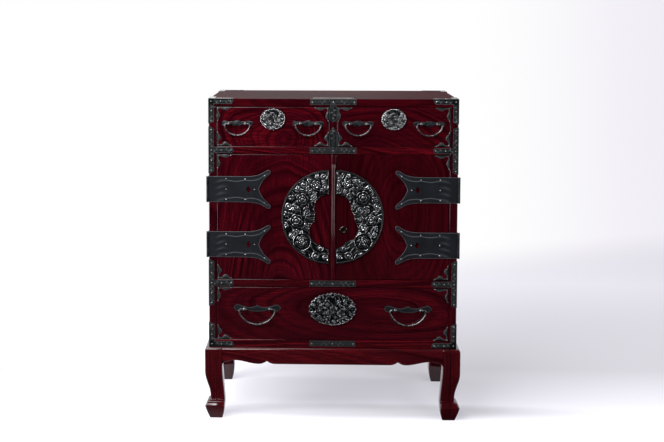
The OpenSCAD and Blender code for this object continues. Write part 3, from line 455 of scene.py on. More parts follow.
def bare_iron(name, dark, bright, rough, spots=160.0):
    """Forged and filed iron or steel, rubbed bright by hands: bare metal, darker in patches."""
    material, tree, here = new_material(name)
    patches = noise(tree, here, spots, 3.0)
    shade(tree, {"Metallic": 1.0,
                 "Base Color": ramp(tree, patches, (0.35, dark), (0.6, bright)),
                 "Roughness": ranged(tree, patches, 0.3, 0.7, rough + 0.1, rough)})
    return material


case_wood = figured_lacquer("zelkova_case_wiped_lacquer", "X", (-900, -200, 700), 0.16,
                            seed=2.0, early="#48060e", mid="#260307")
side_wood = figured_lacquer("zelkova_sides_wiped_lacquer", "Z", (-380, 260, 300), 0.25, 11.0,
                            seed=4.0)
top_wood = figured_lacquer("zelkova_top_satin_lacquer", "X", (150, 300, 985), 0.25,
                           seed=5.0, early="#3a040a", mid="#220206", satin_top=True)
left_door_wood = figured_lacquer("zelkova_left_door_wiped_lacquer", "Z", (-150, -200, 330),
                                 0.4, 11.0, seed=1.0)
# Painted shade: the right door takes darker colours than the left door, as the light falls from the
# left.
right_door_wood = figured_lacquer("zelkova_right_door_wiped_lacquer", "Z", (215, -200, 620),
                                  0.45, 11.0, seed=9.0, early="#34030a", mid="#210206", deep=0.7)
left_drawer_wood = figured_lacquer("zelkova_left_drawer_wiped_lacquer", "X",
                                   (-150, -200, 868), 0.75, seed=6.0, early="#4a060e", warp=0.14)
# Painted shade: the right drawer takes darker colours than the left drawer, as the light falls from
# the left.
right_drawer_wood = figured_lacquer("zelkova_right_drawer_wiped_lacquer", "X",
                                    (150, -200, 800), 0.6, 11.0, seed=11.0, early="#38040a",
                                    deep=0.7)
lower_drawer_wood = figured_lacquer("zelkova_lower_drawer_wiped_lacquer", "X",
                                    (150, -200, 336), 0.28, 15.0, seed=3.0, warp=0.07)
stand_wood = figured_lacquer("zelkova_stand_wiped_lacquer", "X", (-2000, -220, 120), 0.1, 11.0,
                             seed=8.0, early="#44080d", mid="#2c0409")
leg_wood = figured_lacquer("zelkova_legs_wiped_lacquer", "Z", (-1500, -900, 120), 0.1,
                           seed=10.0, early="#3c060b", mid="#270408")
drawer_wood = plain_wood("paulownia_drawers", "Y", "#c9a06a", "#a87d4b")
panel_wood = plain_wood("paulownia_panels", "X", "#b9905e", "#966c40")
sheet_iron = black_iron("baked_sheet_iron", "#07080a", "#16191e")
chased_iron = black_iron("chased_sheet_iron", "#020404", "#101516", 0.7, 0.3, 0.35)
relief_iron = rubbed_iron("rubbed_cast_iron")
bright_relief_iron = rubbed_iron("bright_rubbed_cast_iron", "#010102", "#0c0e10", "#e2e4e8")
dark_relief_iron = rubbed_iron("dark_rubbed_cast_iron", middle="#060708", bright="#989ba0")
ring_iron = rubbed_iron("worn_key_ring_iron", "#060403", "#241d1a", "#5a4e46")
handle_iron = bare_iron("forged_handle_iron", "#262627", "#77777a", 0.34)
plate_iron = bare_iron("filed_plate_iron", "#1a1b1e", "#4c4f53", 0.45, 90.0)
nail_iron = bare_iron("nail_heads_iron", "#707276", "#b4b6ba", 0.3)
lock_steel = bare_iron("lock_steel", "#5c5e62", "#9a9ca0", 0.35)


# Solids of the frame that stay, with their edges eased

BOARD_EASE, LEFT_DOOR_EASE, PLAIN_EASE = 2.1, 1.5, 0.8
WALL_EASE, BOLT_EASE, THIN_EASE = 0.6, 0.6, 0.4


def keep(node, finish, slot, ease=0.0):
    """Gives a solid of the frame its finish, and rounds its edges by modifiers."""
    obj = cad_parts[node]
    obj.data.materials.clear()
    obj.data.materials.append(finish)
    if not ease:
        return
    weld = obj.modifiers.new("weld", "WELD")
    weld.merge_threshold = 0.01 * MM
    flat = obj.modifiers.new("flat", "DECIMATE")
    flat.decimate_type = "DISSOLVE"
    flat.angle_limit = radians(0.5)
    bevel = obj.modifiers.new("edges", "BEVEL")
    bevel.width = ease * MM
    bevel.segments = 3
    bevel.limit_method = "ANGLE"
    bevel.angle_limit = radians(50)
    bevel.harden_normals = True
    bevel.use_clamp_overlap = False


for node, finish in (("bottom_board", case_wood), ("upper_shelf", case_wood),
                     ("lower_shelf", case_wood), ("top_board", top_wood),
                     ("left_side_board", side_wood), ("right_side_board", side_wood),
                     ("centre_partition", side_wood), ("right_door_board", right_door_wood),
                     ("left_drawer_front", left_drawer_wood),
                     ("right_drawer_front", right_drawer_wood),
                     ("lower_drawer_front", lower_drawer_wood)):
    keep(node, finish, "case_lacquer", BOARD_EASE)
keep("left_door_board", left_door_wood, "case_lacquer", LEFT_DOOR_EASE)
for node in ("back_panel", "inner_shelf"):
    keep(node, panel_wood, "plain_wood", PLAIN_EASE)
for drawer in DRAWERS:
    keep(drawer + "_walls", drawer_wood, "plain_wood", WALL_EASE)
    keep(drawer + "_bottom", panel_wood, "plain_wood")
for lock in (*DRAWERS, "door"):
    keep(lock + "_lock_case", lock_steel, "lock_steel", THIN_EASE)
    keep(lock + "_lock_bolt", lock_steel, "lock_steel", BOLT_EASE)
keep("hinge_pins", lock_steel, "lock_steel")
keep("hinge_side_plates", sheet_iron, "black_iron", THIN_EASE)


# The stand

LEG_W = 54
KNEE_Z, ANKLE_Z, ANKLE_IN = 150, 70, 15.5
TOP_ROUND = 9


def leg():
    """Left front leg: at each height a rounded square between an outer line and an inner line.
    Both lines run straight down from the top, bend in by an S curve from knee to ankle, and
    swell again at the foot."""
    arc = np.radians(np.arange(90, -1, -10))
    knee = np.linspace(0, 1, 15)
    foot = ((15.5, 66), (15.5, 60), (15.4, 58.8), (14.9, 58.0), (13.6, 57.2), (10.4, 55.8),
            (8.0, 54.8), (6.7, 54.0), (6.0, 53.0), (5.5, 51.6), (3.6, 48), (1.4, 44), (0.5, 42.2),
            (0.1, 41.4), (0, 40.8), (0.2, 40), (0.7, 38.6), (1.6, 35.8), (3.9, 27.5), (6.6, 20),
            (10.3, 10), (13.1, 2.6), (13.7, 0.9), (14.9, 0))
    z = np.concatenate((STAND_TOP - TOP_ROUND + TOP_ROUND * np.sin(arc), [212, 190, 168],
                        KNEE_Z + (ANKLE_Z - KNEE_Z) * knee, [low for _, low in foot]))
    out = np.concatenate((TOP_ROUND * (1 - np.cos(arc)), [0, 0, 0], ANKLE_IN * smooth(knee),
                          [inward for inward, _ in foot]))
    # Outward bow of the inner line: a little in at the knee, out at the foot
    bow_z = (0, 3, 20, 41, 56, 75, 95, 118, 150, 175, 225)
    bow = (-2, -0.6, 3.6, 6, 6, 4.6, 3.2, 1.6, -0.6, -0.8, 0)
    r = np.interp(z, (0, 30, 60, 120, 216, 225), (3, 4, 4.5, 4.5, 3.5, 2.5))[:, None]
    steps = np.concatenate([np.radians(np.linspace(q, q + 90, 6)) for q in (180, 270, 0, 90)])
    near = out[:, None] + r
    deep = (LEG_W + np.interp(z, bow_z, bow))[:, None] - r
    u = near + (deep - near) * np.repeat((0, 1, 1, 0), 6) + r * np.cos(steps)
    v = near + (deep - near) * np.repeat((0, 0, 1, 1), 6) + r * np.sin(steps)
    return loft(np.stack((-STAND_X + u, STAND_FRONT + v, z[:, None] + 0 * u), -1))


APRON_T, APRON_H, NOTCH_AT = 20, 50, 137
EAR_W, EAR_TOP, EAR_LOW, WAVE_END, NOTCH_UP = 37, 11, KNEE_Z + 21, 24, 9


def lower_edge(s):
    """Height of an apron's lower edge at a distance s from the leg: an elliptic ear, a wave of
    one cosine half turn, a pointed notch of two parabolas, and then straight."""
    low = STAND_TOP - APRON_H
    crown = low + EAR_TOP
    ear = EAR_LOW + (crown - EAR_LOW) * np.sqrt(np.clip(1 - (1 - s / EAR_W) ** 2, 0, 1))
    wave = low + EAR_TOP / 2 * (1 + np.cos(pi * (s - EAR_W) / (NOTCH_AT - WAVE_END - EAR_W)))
    notch = low + NOTCH_UP * np.clip(1 - np.abs(s - NOTCH_AT) / WAVE_END, 0, 1) ** 2
    return np.where(s < EAR_W, ear, np.where(s < NOTCH_AT - WAVE_END, wave, notch))


def apron(half):
    """Apron of a given half length, in U along it, V outward from its outer face and height: its
    section, rounded above and eased below, carried along while its lower edge moves."""
    s = np.unique(np.concatenate((EAR_W * (1 - np.cos(np.linspace(0, pi / 2, 14))),
                                  np.linspace(EAR_W, NOTCH_AT - WAVE_END, 16),
                                  NOTCH_AT + WAVE_END * np.linspace(-1, 1, 17), [half])))
    u = np.concatenate((s - half, (half - s)[::-1][1:]))
    low = lower_edge(half - np.abs(u))[:, None]
    ease = 2.5
    arc = np.radians(np.arange(0, 91, 10))
    depth = np.concatenate((ease * (1 - np.sin(arc)), [0, 0], TOP_ROUND * (1 - np.cos(arc)),
                            [APRON_T, APRON_T]))
    top = np.concatenate((STAND_TOP - TOP_ROUND + TOP_ROUND * np.sin(arc), [STAND_TOP]))
    z = np.concatenate((low + ease * (1 - np.cos(arc)), low + 6, low * 0 + STAND_TOP - 14,
                        top + 0 * low, low), 1)
    return loft(np.stack((u[:, None] + 0 * z, depth + 0 * z, z), -1))


left_leg = leg()
long_apron = put(apron(STAND_X - LEG_W), lambda p: p + (0, STAND_FRONT, 0))
side_apron = put(apron((STAND_BACK - STAND_FRONT) / 2 - LEG_W),
                 lambda p: np.column_stack((p[:, 1] - STAND_X, p[:, 0] + STAND_MID, p[:, 2])))
RAIL_HALF, RAIL_H = 20.0, 36
cross_rail = box_bar(np.array((STAND_FRONT + APRON_T, -RAIL_HALF, STAND_TOP - RAIL_H)),
                     np.array((STAND_BACK - APRON_T, RAIL_HALF, STAND_TOP)))
for name, finish, parts, node in (
        ("front_legs", leg_wood, both([left_leg]), "stand_front_legs"),
        ("back_legs", leg_wood, both([put(left_leg, flip_y)]), "stand_back_legs"),
        ("long_aprons", stand_wood, both([long_apron], flip_y), "stand_long_aprons"),
        ("side_aprons", stand_wood, [*both([side_apron]), put(cross_rail, crossed)],
         "stand_cross_aprons")):
    piece(name, "case", finish, parts, [node])


# Iron fittings

IRON = 1.2
EDGE_W, RAIL_W = 16.5, 18.0
SMALL_ARM, CORNER_ARM, UPRIGHT_ARM, CENTRE_ARM, TOP_ARM = 46, 77, 72, 70.5, 64


def vine(s, t, w):
    """Chased vine along a strip, from 0 to 1: a stem that waves across it in a sine line, with
    a round leaf in each of its bends, cut to an uneven depth, and a berry between the leaves."""
    half = 7.4
    side = np.where(np.floor(s / half) % 2, 1, -1)
    across = (t - 0.5) * w
    stem = bell(across - 0.2 * w * np.sin(pi * s / half), 0, 0.8)
    along = (s / half % 1 - 0.5) * half
    leaf = smooth(1.25 - np.hypot(along / 2.5, (across - side * 0.17 * w) / (0.2 * w)))
    berry = bell(np.hypot(np.abs(along) - half / 2, across), 0, 1.3)
    uneven = 0.65 + 0.35 * np.sin(5.3 * np.floor(s / half) + 2.1 * np.floor(w))
    return np.maximum(np.maximum(0.5 * stem, uneven * leaf), berry) * smooth(
        (0.5 - np.abs(t - 0.5)) * 9)


def strip(reach, wide, lean=0.0, start=0.0, thick=IRON):
    """Strip from the origin along U: its width is a function of the distance along it, and lean
    is the share of the width that lies below its line. The rim is eased, and a vine is chased."""
    a, t = eased(80)[:, None], eased(17)[None, :]
    s = start + (reach - start) * a
    w = wide(s)
    inward = np.minimum(t, 1 - t) * w
    rim = np.minimum(inward, np.minimum(s - start, reach - s))
    leaves = vine(s, t, w) * smooth((reach - s - 1) / 3)
    rub = np.maximum(0.22 * bell(np.minimum(inward, reach - s), 1.2, 0.5), 0.55 * leaves ** 2)
    return plate(s + 0 * t, (t - lean) * w, lift(rim, thick, 0.5) + 0.4 * leaves, rub)


def angle_iron(reach, wide, swell=0.0):
    """Corner fitting from the origin along U and V: two arms whose width is a function of the
    distance along them, meeting on the diagonal. Its arms are chased with a vine or, where they
    swell, as a leaf whose veins slant away from the outer edge."""
    a, t = eased(80)[:, None], eased(18)[None, :]
    s = wide(0.0) * t + (reach - wide(0.0) * t) * a
    w = wide(s)
    rim = np.minimum(np.minimum(t, 1 - t) * w, reach - s)
    if swell:
        leaves = 0.7 * np.abs(np.sin((s + 5 * t) * pi / 5)) ** 3 * np.sin(pi * t) * (t > 0.35)
    else:
        leaves = vine(s, t, w) * smooth((reach - s - 1) / 3) * smooth((s - wide(0.0)) / 4)
    top = lift(rim, IRON, 0.5) + swell * np.sin(pi * t) * (w / np.max(w)) ** 2 + 0.4 * leaves
    rub = np.maximum(0.3 * bell(rim, 1.2, 0.5) * (t > 0.5), 0.55 * leaves ** 2)
    u = np.concatenate(((t * w)[::-1], s[1:]))
    v = np.concatenate((s[::-1], (t * w)[1:]))
    top, rub = (np.concatenate((grid[::-1], grid[1:])) for grid in (top, rub))
    return plate(u, v, top, rub)


def scalloped(width, reach):
    """Width along a strip: waves along its inner edge, and a rounded tip."""
    return lambda s: width * (0.92 + 0.08 * np.abs(np.cos(3.5 * pi * s / reach))) * np.sqrt(
        np.clip((reach + 0.4 - s) / (0.35 * width), 0, 1))


def blade(full):
    """Width along a small corner fitting's arm: a leaf beyond a narrow neck, then a thin tip."""
    line = ((0, 7.0), (6, 6.2), (12, 4.6), (16, 6.4), (21, 9.0 + full), (27, 10.6 + full),
            (33, 8.6 + 0.6 * full), (38, 5.6), (42, 4.2), (45, 2.6), (46.1, 0.6))
    return lambda s: through(line, np.asarray(s, float))


def small_irons(owner, board, sides):
    """Small corner fittings with their nails at the corners of a board, fuller at the foot."""
    low, high = limits(owner + board)
    irons, heads = [], []
    for i in sides:
        for j in (0, 1):
            where = shift((low, high)[i][0], (low, high)[j][2], 1 - 2 * i, 1 - 2 * j)
            irons.append(put(angle_iron(SMALL_ARM, blade(3.2 - 3.2 * j), 1.4), where, on_front))
            spots = ((3.6, 3.6), (42, 2.2), (2.2, 42))
            heads.append(put(nails(spots, IRON, 1.3), where, on_front))
    piece(owner + "_irons", owner, chased_iron, irons, [owner + "_corner_irons"])
    piece(owner + "_nails", owner, nail_iron, heads)


def case_irons():
    """Fittings on the case's edges: bent round its corners, and along its boards' front edges."""
    corner, edges, heads = [], [], []
    wide, mid = scalloped(RAIL_W, CORNER_ARM), scalloped(EDGE_W + IRON, UPRIGHT_ARM)
    ends, places = ((FRONT, 1), (BACK, -1)), []
    for z, up in ((STAND_TOP, 1), (CASE_TOP + IRON, -1)):
        places.append((shift(-HALF_W - IRON, z, 1, up), on_front))
        places += [(shift(y, z, turn, up), on_left) for y, turn in ends]
    places += [(shift(-HALF_W, y, 1, turn), on_top) for y, turn in ends]
    for place in places:
        corner.append(put(angle_iron(CORNER_ARM, wide), *place))
        spots = ((9, 9), (38, 9), (68, 8), (9, 38), (8, 68))
        heads.append(put(nails(spots, IRON), *place))
    for z in (UPPER_MID, LOWER_MID):
        along = strip(CORNER_ARM, wide, 0.5, EDGE_W)
        edges.append(put(along, shift(-HALF_W - IRON, z), on_front))
        for up in (1, -1):
            where = shift(-HALF_W - IRON, z, 1, up)
            edges.append(put(strip(UPRIGHT_ARM, mid), crossed, where, on_front))
            upright = strip(UPRIGHT_ARM, scalloped(EDGE_W, UPRIGHT_ARM))
            edges.append(put(upright, crossed, shift(FRONT, z, 1, up), on_left))
        spots = ((8, 0), (8, 62), (8, -62), (8, 31), (8, -31), (38, 0), (68, 0))
        heads.append(put(nails(spots, IRON), shift(-HALF_W, z), on_front))
        heads.append(put(nails(spots[:5], IRON), shift(FRONT, z), on_left))
    corner, edges, heads = both(corner), both(edges), both(heads)
    for z, w in ((CASE_TOP - 9.2, 18.4), (UPPER_MID, 19), (LOWER_MID, 19),
                 (STAND_TOP + BOARD / 2 + 1, 18)):
        arm = strip(CENTRE_ARM, lambda s: w * (0.93 + 0.07 * np.abs(np.cos(pi * s / 18))),
                    0.5, thick=IRON + 0.1)
        edges += [put(arm, shift(0, z, side), on_front) for side in (1, -1)]
        heads.append(put(nails(((0, 0), (64, 0), (-64, 0)), IRON), shift(0, z), on_front))
    # The partition's fittings: a tongue hanging from the top, and one standing on the shelf
    hanging = ((0, 19), (12, 19), (20, 22), (30, 24), (46, 24), (54, 21), (60, 13), (62, 2))
    standing = ((0, 24), (30, 24), (44, 23), (54, 18), (60, 11), (65, 5), (68, 1))
    for z, up, line in ((CASE_TOP - 8, -1, hanging), (UPPER_MID + 4, 1, standing)):
        reach = line[-1][0]
        where = shift(0, z, 1, up)
        edges.append(put(strip(reach, lambda s: through(line, s), 0.5), crossed, where, on_front))
        heads.append(put(nails(((0, reach - 12),), IRON), where, on_front))
    top_strip = strip(TOP_ARM, scalloped(EDGE_W, TOP_ARM))
    edges += [put(top_strip, shift(0, FRONT + EDGE_W, side), on_top) for side in (1, -1)]
    piece("corner_irons", "case", chased_iron, corner, ["case_corner_irons"])
    piece("edge_irons", "case", chased_iron, edges, ["case_edge_irons"])
    piece("case_nails", "case", nail_iron, heads)


case_irons()


# Strap hinges

STRAP_T = 2.0
PIN_X, PIN_Y = -HALF_W - 4.2, FRONT - STRAP_T / 2
HALF_STRAP, HALF_FORK, EYE_S = 39.75, 59.5, 129.5
strap_low, strap_high = limits("left_door_straps")
STRAP_ZS = (strap_high[2] - HALF_FORK, strap_low[2] + HALF_FORK)


def heart(u, v):
    """Distance outside a heart that points along U: two round lobes and a square on its point."""
    lobes = np.hypot(u + 4, np.abs(v) - 4.6) - 4.6
    point = (np.abs(u + 3) + np.abs(v) - 8.5) / sqrt(2)
    return np.minimum(lobes, point)


STRAP_EDGE = ((0, 39.75), (110, 39.75), (124, 39.9), (136, 40.8), (147.5, 42.6), (159, 45.6),
              (168.5, 50), (176, 54.4), (182.6, 58.2), (188, 59.5), (196, 59.5))
STRAP_END = ((0, 157), (0.2, 160.6), (0.44, 167), (0.57, 173), (0.66, 181), (0.75, 188),
             (0.83, 192), (0.89, 192.6), (0.94, 192.0), (0.985, 190), (1, 188))


def strap():
    """Forked strap from the pin along U: smooth lines through measured points give its half
    height along U, and the reach of its end across it, from the crotch out to two rounded tips.
    A chased line follows its edge, wrinkles run in from the pin, and a heart is pierced."""
    t = (2 * eased(84) - 1)[None, :]
    a = eased(96)[:, None]
    start = 4.6
    end = through(STRAP_END, np.abs(t))
    s = start + (end - start) * a
    half = through(STRAP_EDGE, s)
    u, v = s, t * half
    # Points of the grid near the heart's line are drawn onto it, so that the hole has a clean rim
    for _ in range(3):
        du, dv = u - EYE_S, v
        d = heart(du, dv)
        near = np.abs(d) < 1.1
        gu = (heart(du + 0.01, dv) - d) / 0.01
        gv = (heart(du, dv + 0.01) - d) / 0.01
        size = np.maximum(gu ** 2 + gv ** 2, 0.3)
        u, v = u - near * d * gu / size, v - near * d * gv / size
    inside = heart(u - EYE_S, v) < 0.2
    corners = inside.ravel()[quads(*u.shape)]
    inward = (1 - np.abs(t)) * half
    rim = np.minimum(inward, (end - s) * 0.8)
    # The chased line: about 14 mm in from the long edges, waving where the nails are
    wave = 13.6 - 1.8 * bell(s, 57, 14) + 1.6 * bell(s, 86, 12) - 2.4 * bell(s, 116, 10)
    line = bell(inward, wave - 3.4 * smooth((s - 150) / 30), 0.9)
    line *= smooth((s - 40) / 30) * smooth((end - s - 4) / 5)
    wrinkle = np.sin(v / 3.1 + 1.3 * np.sin(s / 11)) * smooth((66 - s) / 30) * smooth(s / 20 - 1)
    top = lift(rim, STRAP_T, 0.8) - 0.35 * line + 0.16 * wrinkle
    rub = 0.3 * line + 0.3 * bell(rim, 0.7, 0.5) + 0.07 * np.clip(wrinkle, 0, 1)
    return plate(u, v, top, rub, ~corners.all(1))


def strap_parts():
    """Both straps of the left door, with the barrels that turn on the pin, and their nails."""
    knuckle = HALF_STRAP / 3 - 0.2
    barrel = turned([(0, -knuckle), (3.2, -knuckle), (3.6, 0.4 - knuckle), (3.6, knuckle - 0.4),
                     (3.2, knuckle), (0, knuckle)])
    neck = plate(*np.meshgrid(np.array((0, 1.6, 3.2, 5.0)), np.array((-1, -.9, .9, 1)) * knuckle,
                              indexing="ij"), np.full((4, 4), STRAP_T - 0.3))
    blade_part = strap()
    spots = ((57.2, 0), (57.2, 31.3), (57.2, -31.3), (115.5, 31.3), (115.5, -31.3), (174.5, 42),
             (174.5, -42), (144, 0))
    plates, heads = [], []
    for z in STRAP_ZS:
        where = shift(PIN_X, z)
        plates += [put(blade_part, where, on_front), put(neck, where, on_front),
                   put(barrel, lambda p: p + (PIN_X, PIN_Y, z))]
        heads.append(put(nails(spots, STRAP_T - 0.2, 2.2), where, on_front))
    return plates, heads


left_straps = strap_parts()
right_straps = [[put(part, flip_x) for part in parts] for parts in left_straps]
for door, (plates, heads) in (("left_door", left_straps), ("right_door", right_straps)):
    piece(door + "_hinge_straps", door, sheet_iron, plates, [door + "_straps"])
    piece(door + "_strap_nails", door, nail_iron, heads)

# Nails of the hinge plates on the case's sides
spots = [(u, v) for u in (22, 56, 90) for v in (-30, 30)]
heads = [put(nails(spots, STRAP_T, 2.1), shift(FRONT, z), on_left) for z in STRAP_ZS]
piece("hinge_plate_nails", "case", nail_iron, both(heads))


# Doors and drawers: corner fittings, the raised bar

small_irons("left_door", "_board", (0,))
small_irons("right_door", "_board", (1,))
for drawer in DRAWERS:
    small_irons(drawer, "_front", (0, 1))


def meeting_bar():
    """Upright moulding on the left door's edge: a flat strip over the door's whole height, and a
    bar of two half-round beads side by side."""
    low, high = limits("meeting_bar")
    door_low, door_high = limits("left_door_board")
    mid, half, bead = door_high[0] - 6.3, 6.0, 3.0
    t = 2 * eased(44)[None, :] - 1
    z = (low[2] + (high[2] - low[2]) * eased(24))[:, None]
    flank = np.abs(np.abs(t * half) - bead) / bead
    ridge = 3.2 + bead * np.sqrt(1 - 0.98 * flank ** 2)
    end = np.sqrt(1 - (1 - np.clip(np.minimum(z - low[2], high[2] - z) / 4, 0, 1)) ** 2)
    bar = plate(mid + t * half + 0 * z, z + 0 * t, ridge * (0.35 + 0.65 * end))
    z = (door_low[2] + 0.6 + (door_high[2] - door_low[2] - 1.2) * eased(20))[:, None]
    rim = np.minimum((1 - np.abs(t)) * half, np.minimum(z - z[0], z[-1] - z))
    flat = plate(mid + t * half + 0 * z, z + 0 * t, lift(rim, 1.6, 1.0))
    piece("door_meeting_bar", "left_door", left_door_wood,
          [put(flat, on_front), put(bar, on_front)], ["meeting_bar"], 50)


meeting_bar()


# Relief: motifs in their own frames, laid over one another

RELIEF_CREASE = 75


def own_frame(u, v, at, angle, size):
    """Places in a motif's own frame: from its middle, turned by an angle, in units of its size."""
    c, s = cos(radians(angle)), sin(radians(angle))
    du, dv = (u - at[0]) / size, (v - at[1]) / size
    return c * du + s * dv, c * dv - s * du


def peony(u, v):
    """Rings of cupped petals round a boss, each ring higher than the one outside it. A petal's
    edge is a lobe of a cosine, its rim stands up, and it sinks between its neighbours."""
    r, a = np.hypot(u, v), np.arctan2(v, u)
    height = np.zeros_like(r)
    for ring, (count, reach) in enumerate(((6, 1.0), (5, 0.72), (4, 0.42))):
        lobe = np.abs(np.cos((a + 0.6 * ring) * count / 2))
        edge = reach * (0.74 + 0.26 * lobe ** 0.5)
        q = np.clip(r / edge, 0, 1)
        cup = 0.2 + 0.2 * ring + 0.34 * q ** 2.5 - 0.3 * (1 - lobe) ** 2
        cup -= 0.3 * smooth((q - 0.9) / 0.1)
        height = np.where(r < edge, cup, height)
    return np.where(r < 0.15, 0.95 - 8 * r * r, height)


def leaf(u, v):
    """Curled pointed leaf from U = 0 to 1: a wavy edge, a sunk midrib and slanting veins."""
    along = np.clip(u, 0, 1)
    v = v - 0.16 * np.sin(pi * along)
    half = 0.3 * np.sin(pi * along ** 0.75) * (1 + 0.16 * np.sin(7 * pi * along)) + 1e-6
    q = np.clip(np.abs(v) / half, 0, 1)
    height = 0.2 + 0.46 * np.sqrt(1 - q ** 2) - 0.4 * bell(v, 0, 0.04)
    height += 0.07 * np.cos((u * 8 - np.abs(v) * 12) * 2)
    return np.where((u > 0) & (u < 1) & (np.abs(v) < half), height, 0)


def scroll(u, v):
    """Cloud scroll: a round ridge that winds in towards the middle on an even spiral, rising as
    it goes."""
    r, a = np.hypot(u, v), np.arctan2(v, u)
    phase = (1.45 * r - a / (2 * pi)) % 1
    ridge = np.sqrt(np.clip(1 - ((phase - 0.5) / 0.4) ** 2, 0, 1))
    return np.where(r < 1, 0.06 + 0.6 * ridge * (1.1 - 0.35 * r), 0)


def strands(u, v):
    """Ground of flowing strands: ridges whose lines are bent by slow waves and break up along
    their length."""
    bend = 8 * np.sin(v / 15 + 1.4 * np.sin(u / 19)) + 7 * np.sin(u / 13 - v / 25)
    phase = (0.6 * u + 0.8 * v + bend) / 7.4
    along = (0.8 * u - 0.6 * v) / 9.5 + 2.4 * np.floor(phase)
    return 0.5 * np.abs(np.sin(pi * phase)) ** 1.6 * (0.62 + 0.38 * np.sin(along))


def carved(u, v, flowers, scrolls, leaf_size, frames=(), fine=1.0):
    """Height of the relief from 0 to 1: strands, then scrolls, then leaves and flowers, then
    round frames about flowers, each a raised ring with sunk ground inside it."""
    height = strands(fine * u, fine * v)

    def lay(motif, at, angle, size):
        """The relief with one motif over it."""
        new = motif(*own_frame(u, v, at, angle, size))
        return np.where(new > 0, new, height)

    for at, size, turn in scrolls:
        height = lay(scroll, at, turn, size)
    for at, size, turn in flowers:
        for angle in range(turn, turn + 360, 60):
            root = (at[0] + 0.75 * size * cos(radians(angle)),
                    at[1] + 0.75 * size * sin(radians(angle)))
            height = lay(leaf, root, angle + 14, leaf_size * size)
    for at, size in frames:
        r = np.hypot(u - at[0], v - at[1])
        height = np.where(r < size, 0.3 * height, height)
        height = np.where(np.abs(r - size) < 2.6, 0.9 * bell(r, size, 1.7), height)
    for at, size, turn in flowers:
        height = lay(peony, at, turn, size)
    return height


def ridge_rub(top):
    """How far each point of a grid stands over its neighbours and over the ground, from 0 to 1:
    what a rubbing cloth reaches."""
    wide = top.copy()
    for _ in range(6):
        wide[1:-1] = (wide[:-2] + wide[1:-1] + wide[2:]) / 3
        wide[:, 1:-1] = (wide[:, :-2] + wide[:, 1:-1] + wide[:, 2:]) / 3
    span = top.max() - top.min()
    rub = np.clip(4.6 * (top - wide) / span + 0.32 * (top - top.min()) / span, 0, 1)
    return np.concatenate((rub.ravel(), np.zeros(rub.size)))


DISC_R, DISC_GROUND, DISC_RELIEF = 144.5, 2.2, 7.6
BEAD_IN, BEADS_FROM = 3.4, DISC_R - 7
FRAME_AT, FRAME_R = (-81.6, -76.0), 26.5


def half_disc(hand, side, clouds, framed_turn, flowers, scrolls):
    """Half disc of relief, from a cloud-shaped opening out to a beaded rim, between two straight
    edges on the door's middle line. A cloud is a circle: its middle and its radius. Flowers and
    scrolls are given by bearing, distance, size and turn; one more flower stands in a frame."""
    low, high = limits(hand + "_half_disc")
    centre = (high[0] if side < 0 else low[0], (low[2] + high[2]) / 2)
    flowers, scrolls = ([((r * cos(radians(b)), r * sin(radians(b))), size, turn)
                         for b, r, size, turn in motifs] for motifs in (flowers, scrolls))
    flowers.append((FRAME_AT, 21, framed_turn))

    def opening(a):
        """Radius of the opening: the farthest that a bearing runs inside four round clouds."""
        reach = np.full_like(a, 30.0)
        for cu, cv, r in clouds:
            b = -cu * np.cos(a) + cv * np.sin(a)
            inside = b * b - (cu * cu + cv * cv - r * r)
            reach = np.maximum(reach, np.where(inside > 0, b + np.sqrt(np.maximum(inside, 0)), 0))
        return reach * (1 + 0.035 * np.abs(np.sin(9 * a)))

    def height(u, v, rim):
        h = carved(u, v, flowers, scrolls, 1.05, [(FRAME_AT, FRAME_R)])
        r, a = np.hypot(u, v), np.arctan2(v, u)
        h = h * smooth((rim - 0.3) / 1.8) + 0.12 * bell(rim, 1.6, 1.3)
        bead = np.sqrt(np.clip(1 - ((r - DISC_R + BEAD_IN) / 3.2) ** 2, 0, 1))
        rope = 0.35 + 0.65 * np.abs(np.cos((a * DISC_R + (r - DISC_R) * 1.2) * pi / 6.4))
        h = np.where(r > BEADS_FROM, bead * rope * 0.75, h)
        return DISC_GROUND - 1.2 + lift(rim, 1.2, 0.9) + DISC_RELIEF * np.clip(h, 0, 1)

    part, top = disc(lambda a: DISC_R + 0 * a, height, 120, opening, (pi / 2, 3 * pi / 2), 400)
    beaded = np.hypot(part[0][:, 0], part[0][:, 1]) > BEADS_FROM
    part = (*part, ridge_rub(top) * np.where(beaded, 0.45, 1))
    piece(hand + "_peony_disc", hand + "_door", relief_iron,
          [put(part, shift(*centre, -side), on_front)], [hand + "_half_disc"], RELIEF_CREASE)


half_disc("left", -1, ((6, 28, 37), (6, -2, 36), (18, -44, 40), (4, -70, 26)), 20,
          ((112, 106, 21, 10), (146, 98, 27, 40), (186, 100, 29, 75)),
          ((97, 126, 12, 30), (96, 92, 11, 200), (128, 126, 12, 120), (165, 127, 12, 300),
           (207, 127, 11, 60), (200, 76, 11, 10), (252, 126, 13, 220), (256, 100, 10, 100),
           (266, 124, 10, 300), (167, 70, 11, 150), (127, 78, 10, 40), (236, 137, 7, 0)))
half_disc("right", 1, ((6, 28, 37), (14, -6, 40), (24, -36, 40), (4, -70, 24)), 55,
          ((107, 108, 20, 30), (143, 101, 30, 0), (184, 106, 24, 50)),
          ((96, 84, 12, 0), (124, 126, 12, 90), (165, 127, 12, 200), (163, 76, 12, 320),
           (205, 127, 11, 20), (201, 83, 10, 250), (253, 126, 13, 160), (257, 100, 10, 60),
           (92, 122, 11, 270), (122, 76, 10, 0), (266, 122, 9, 200), (236, 137, 7, 90)))


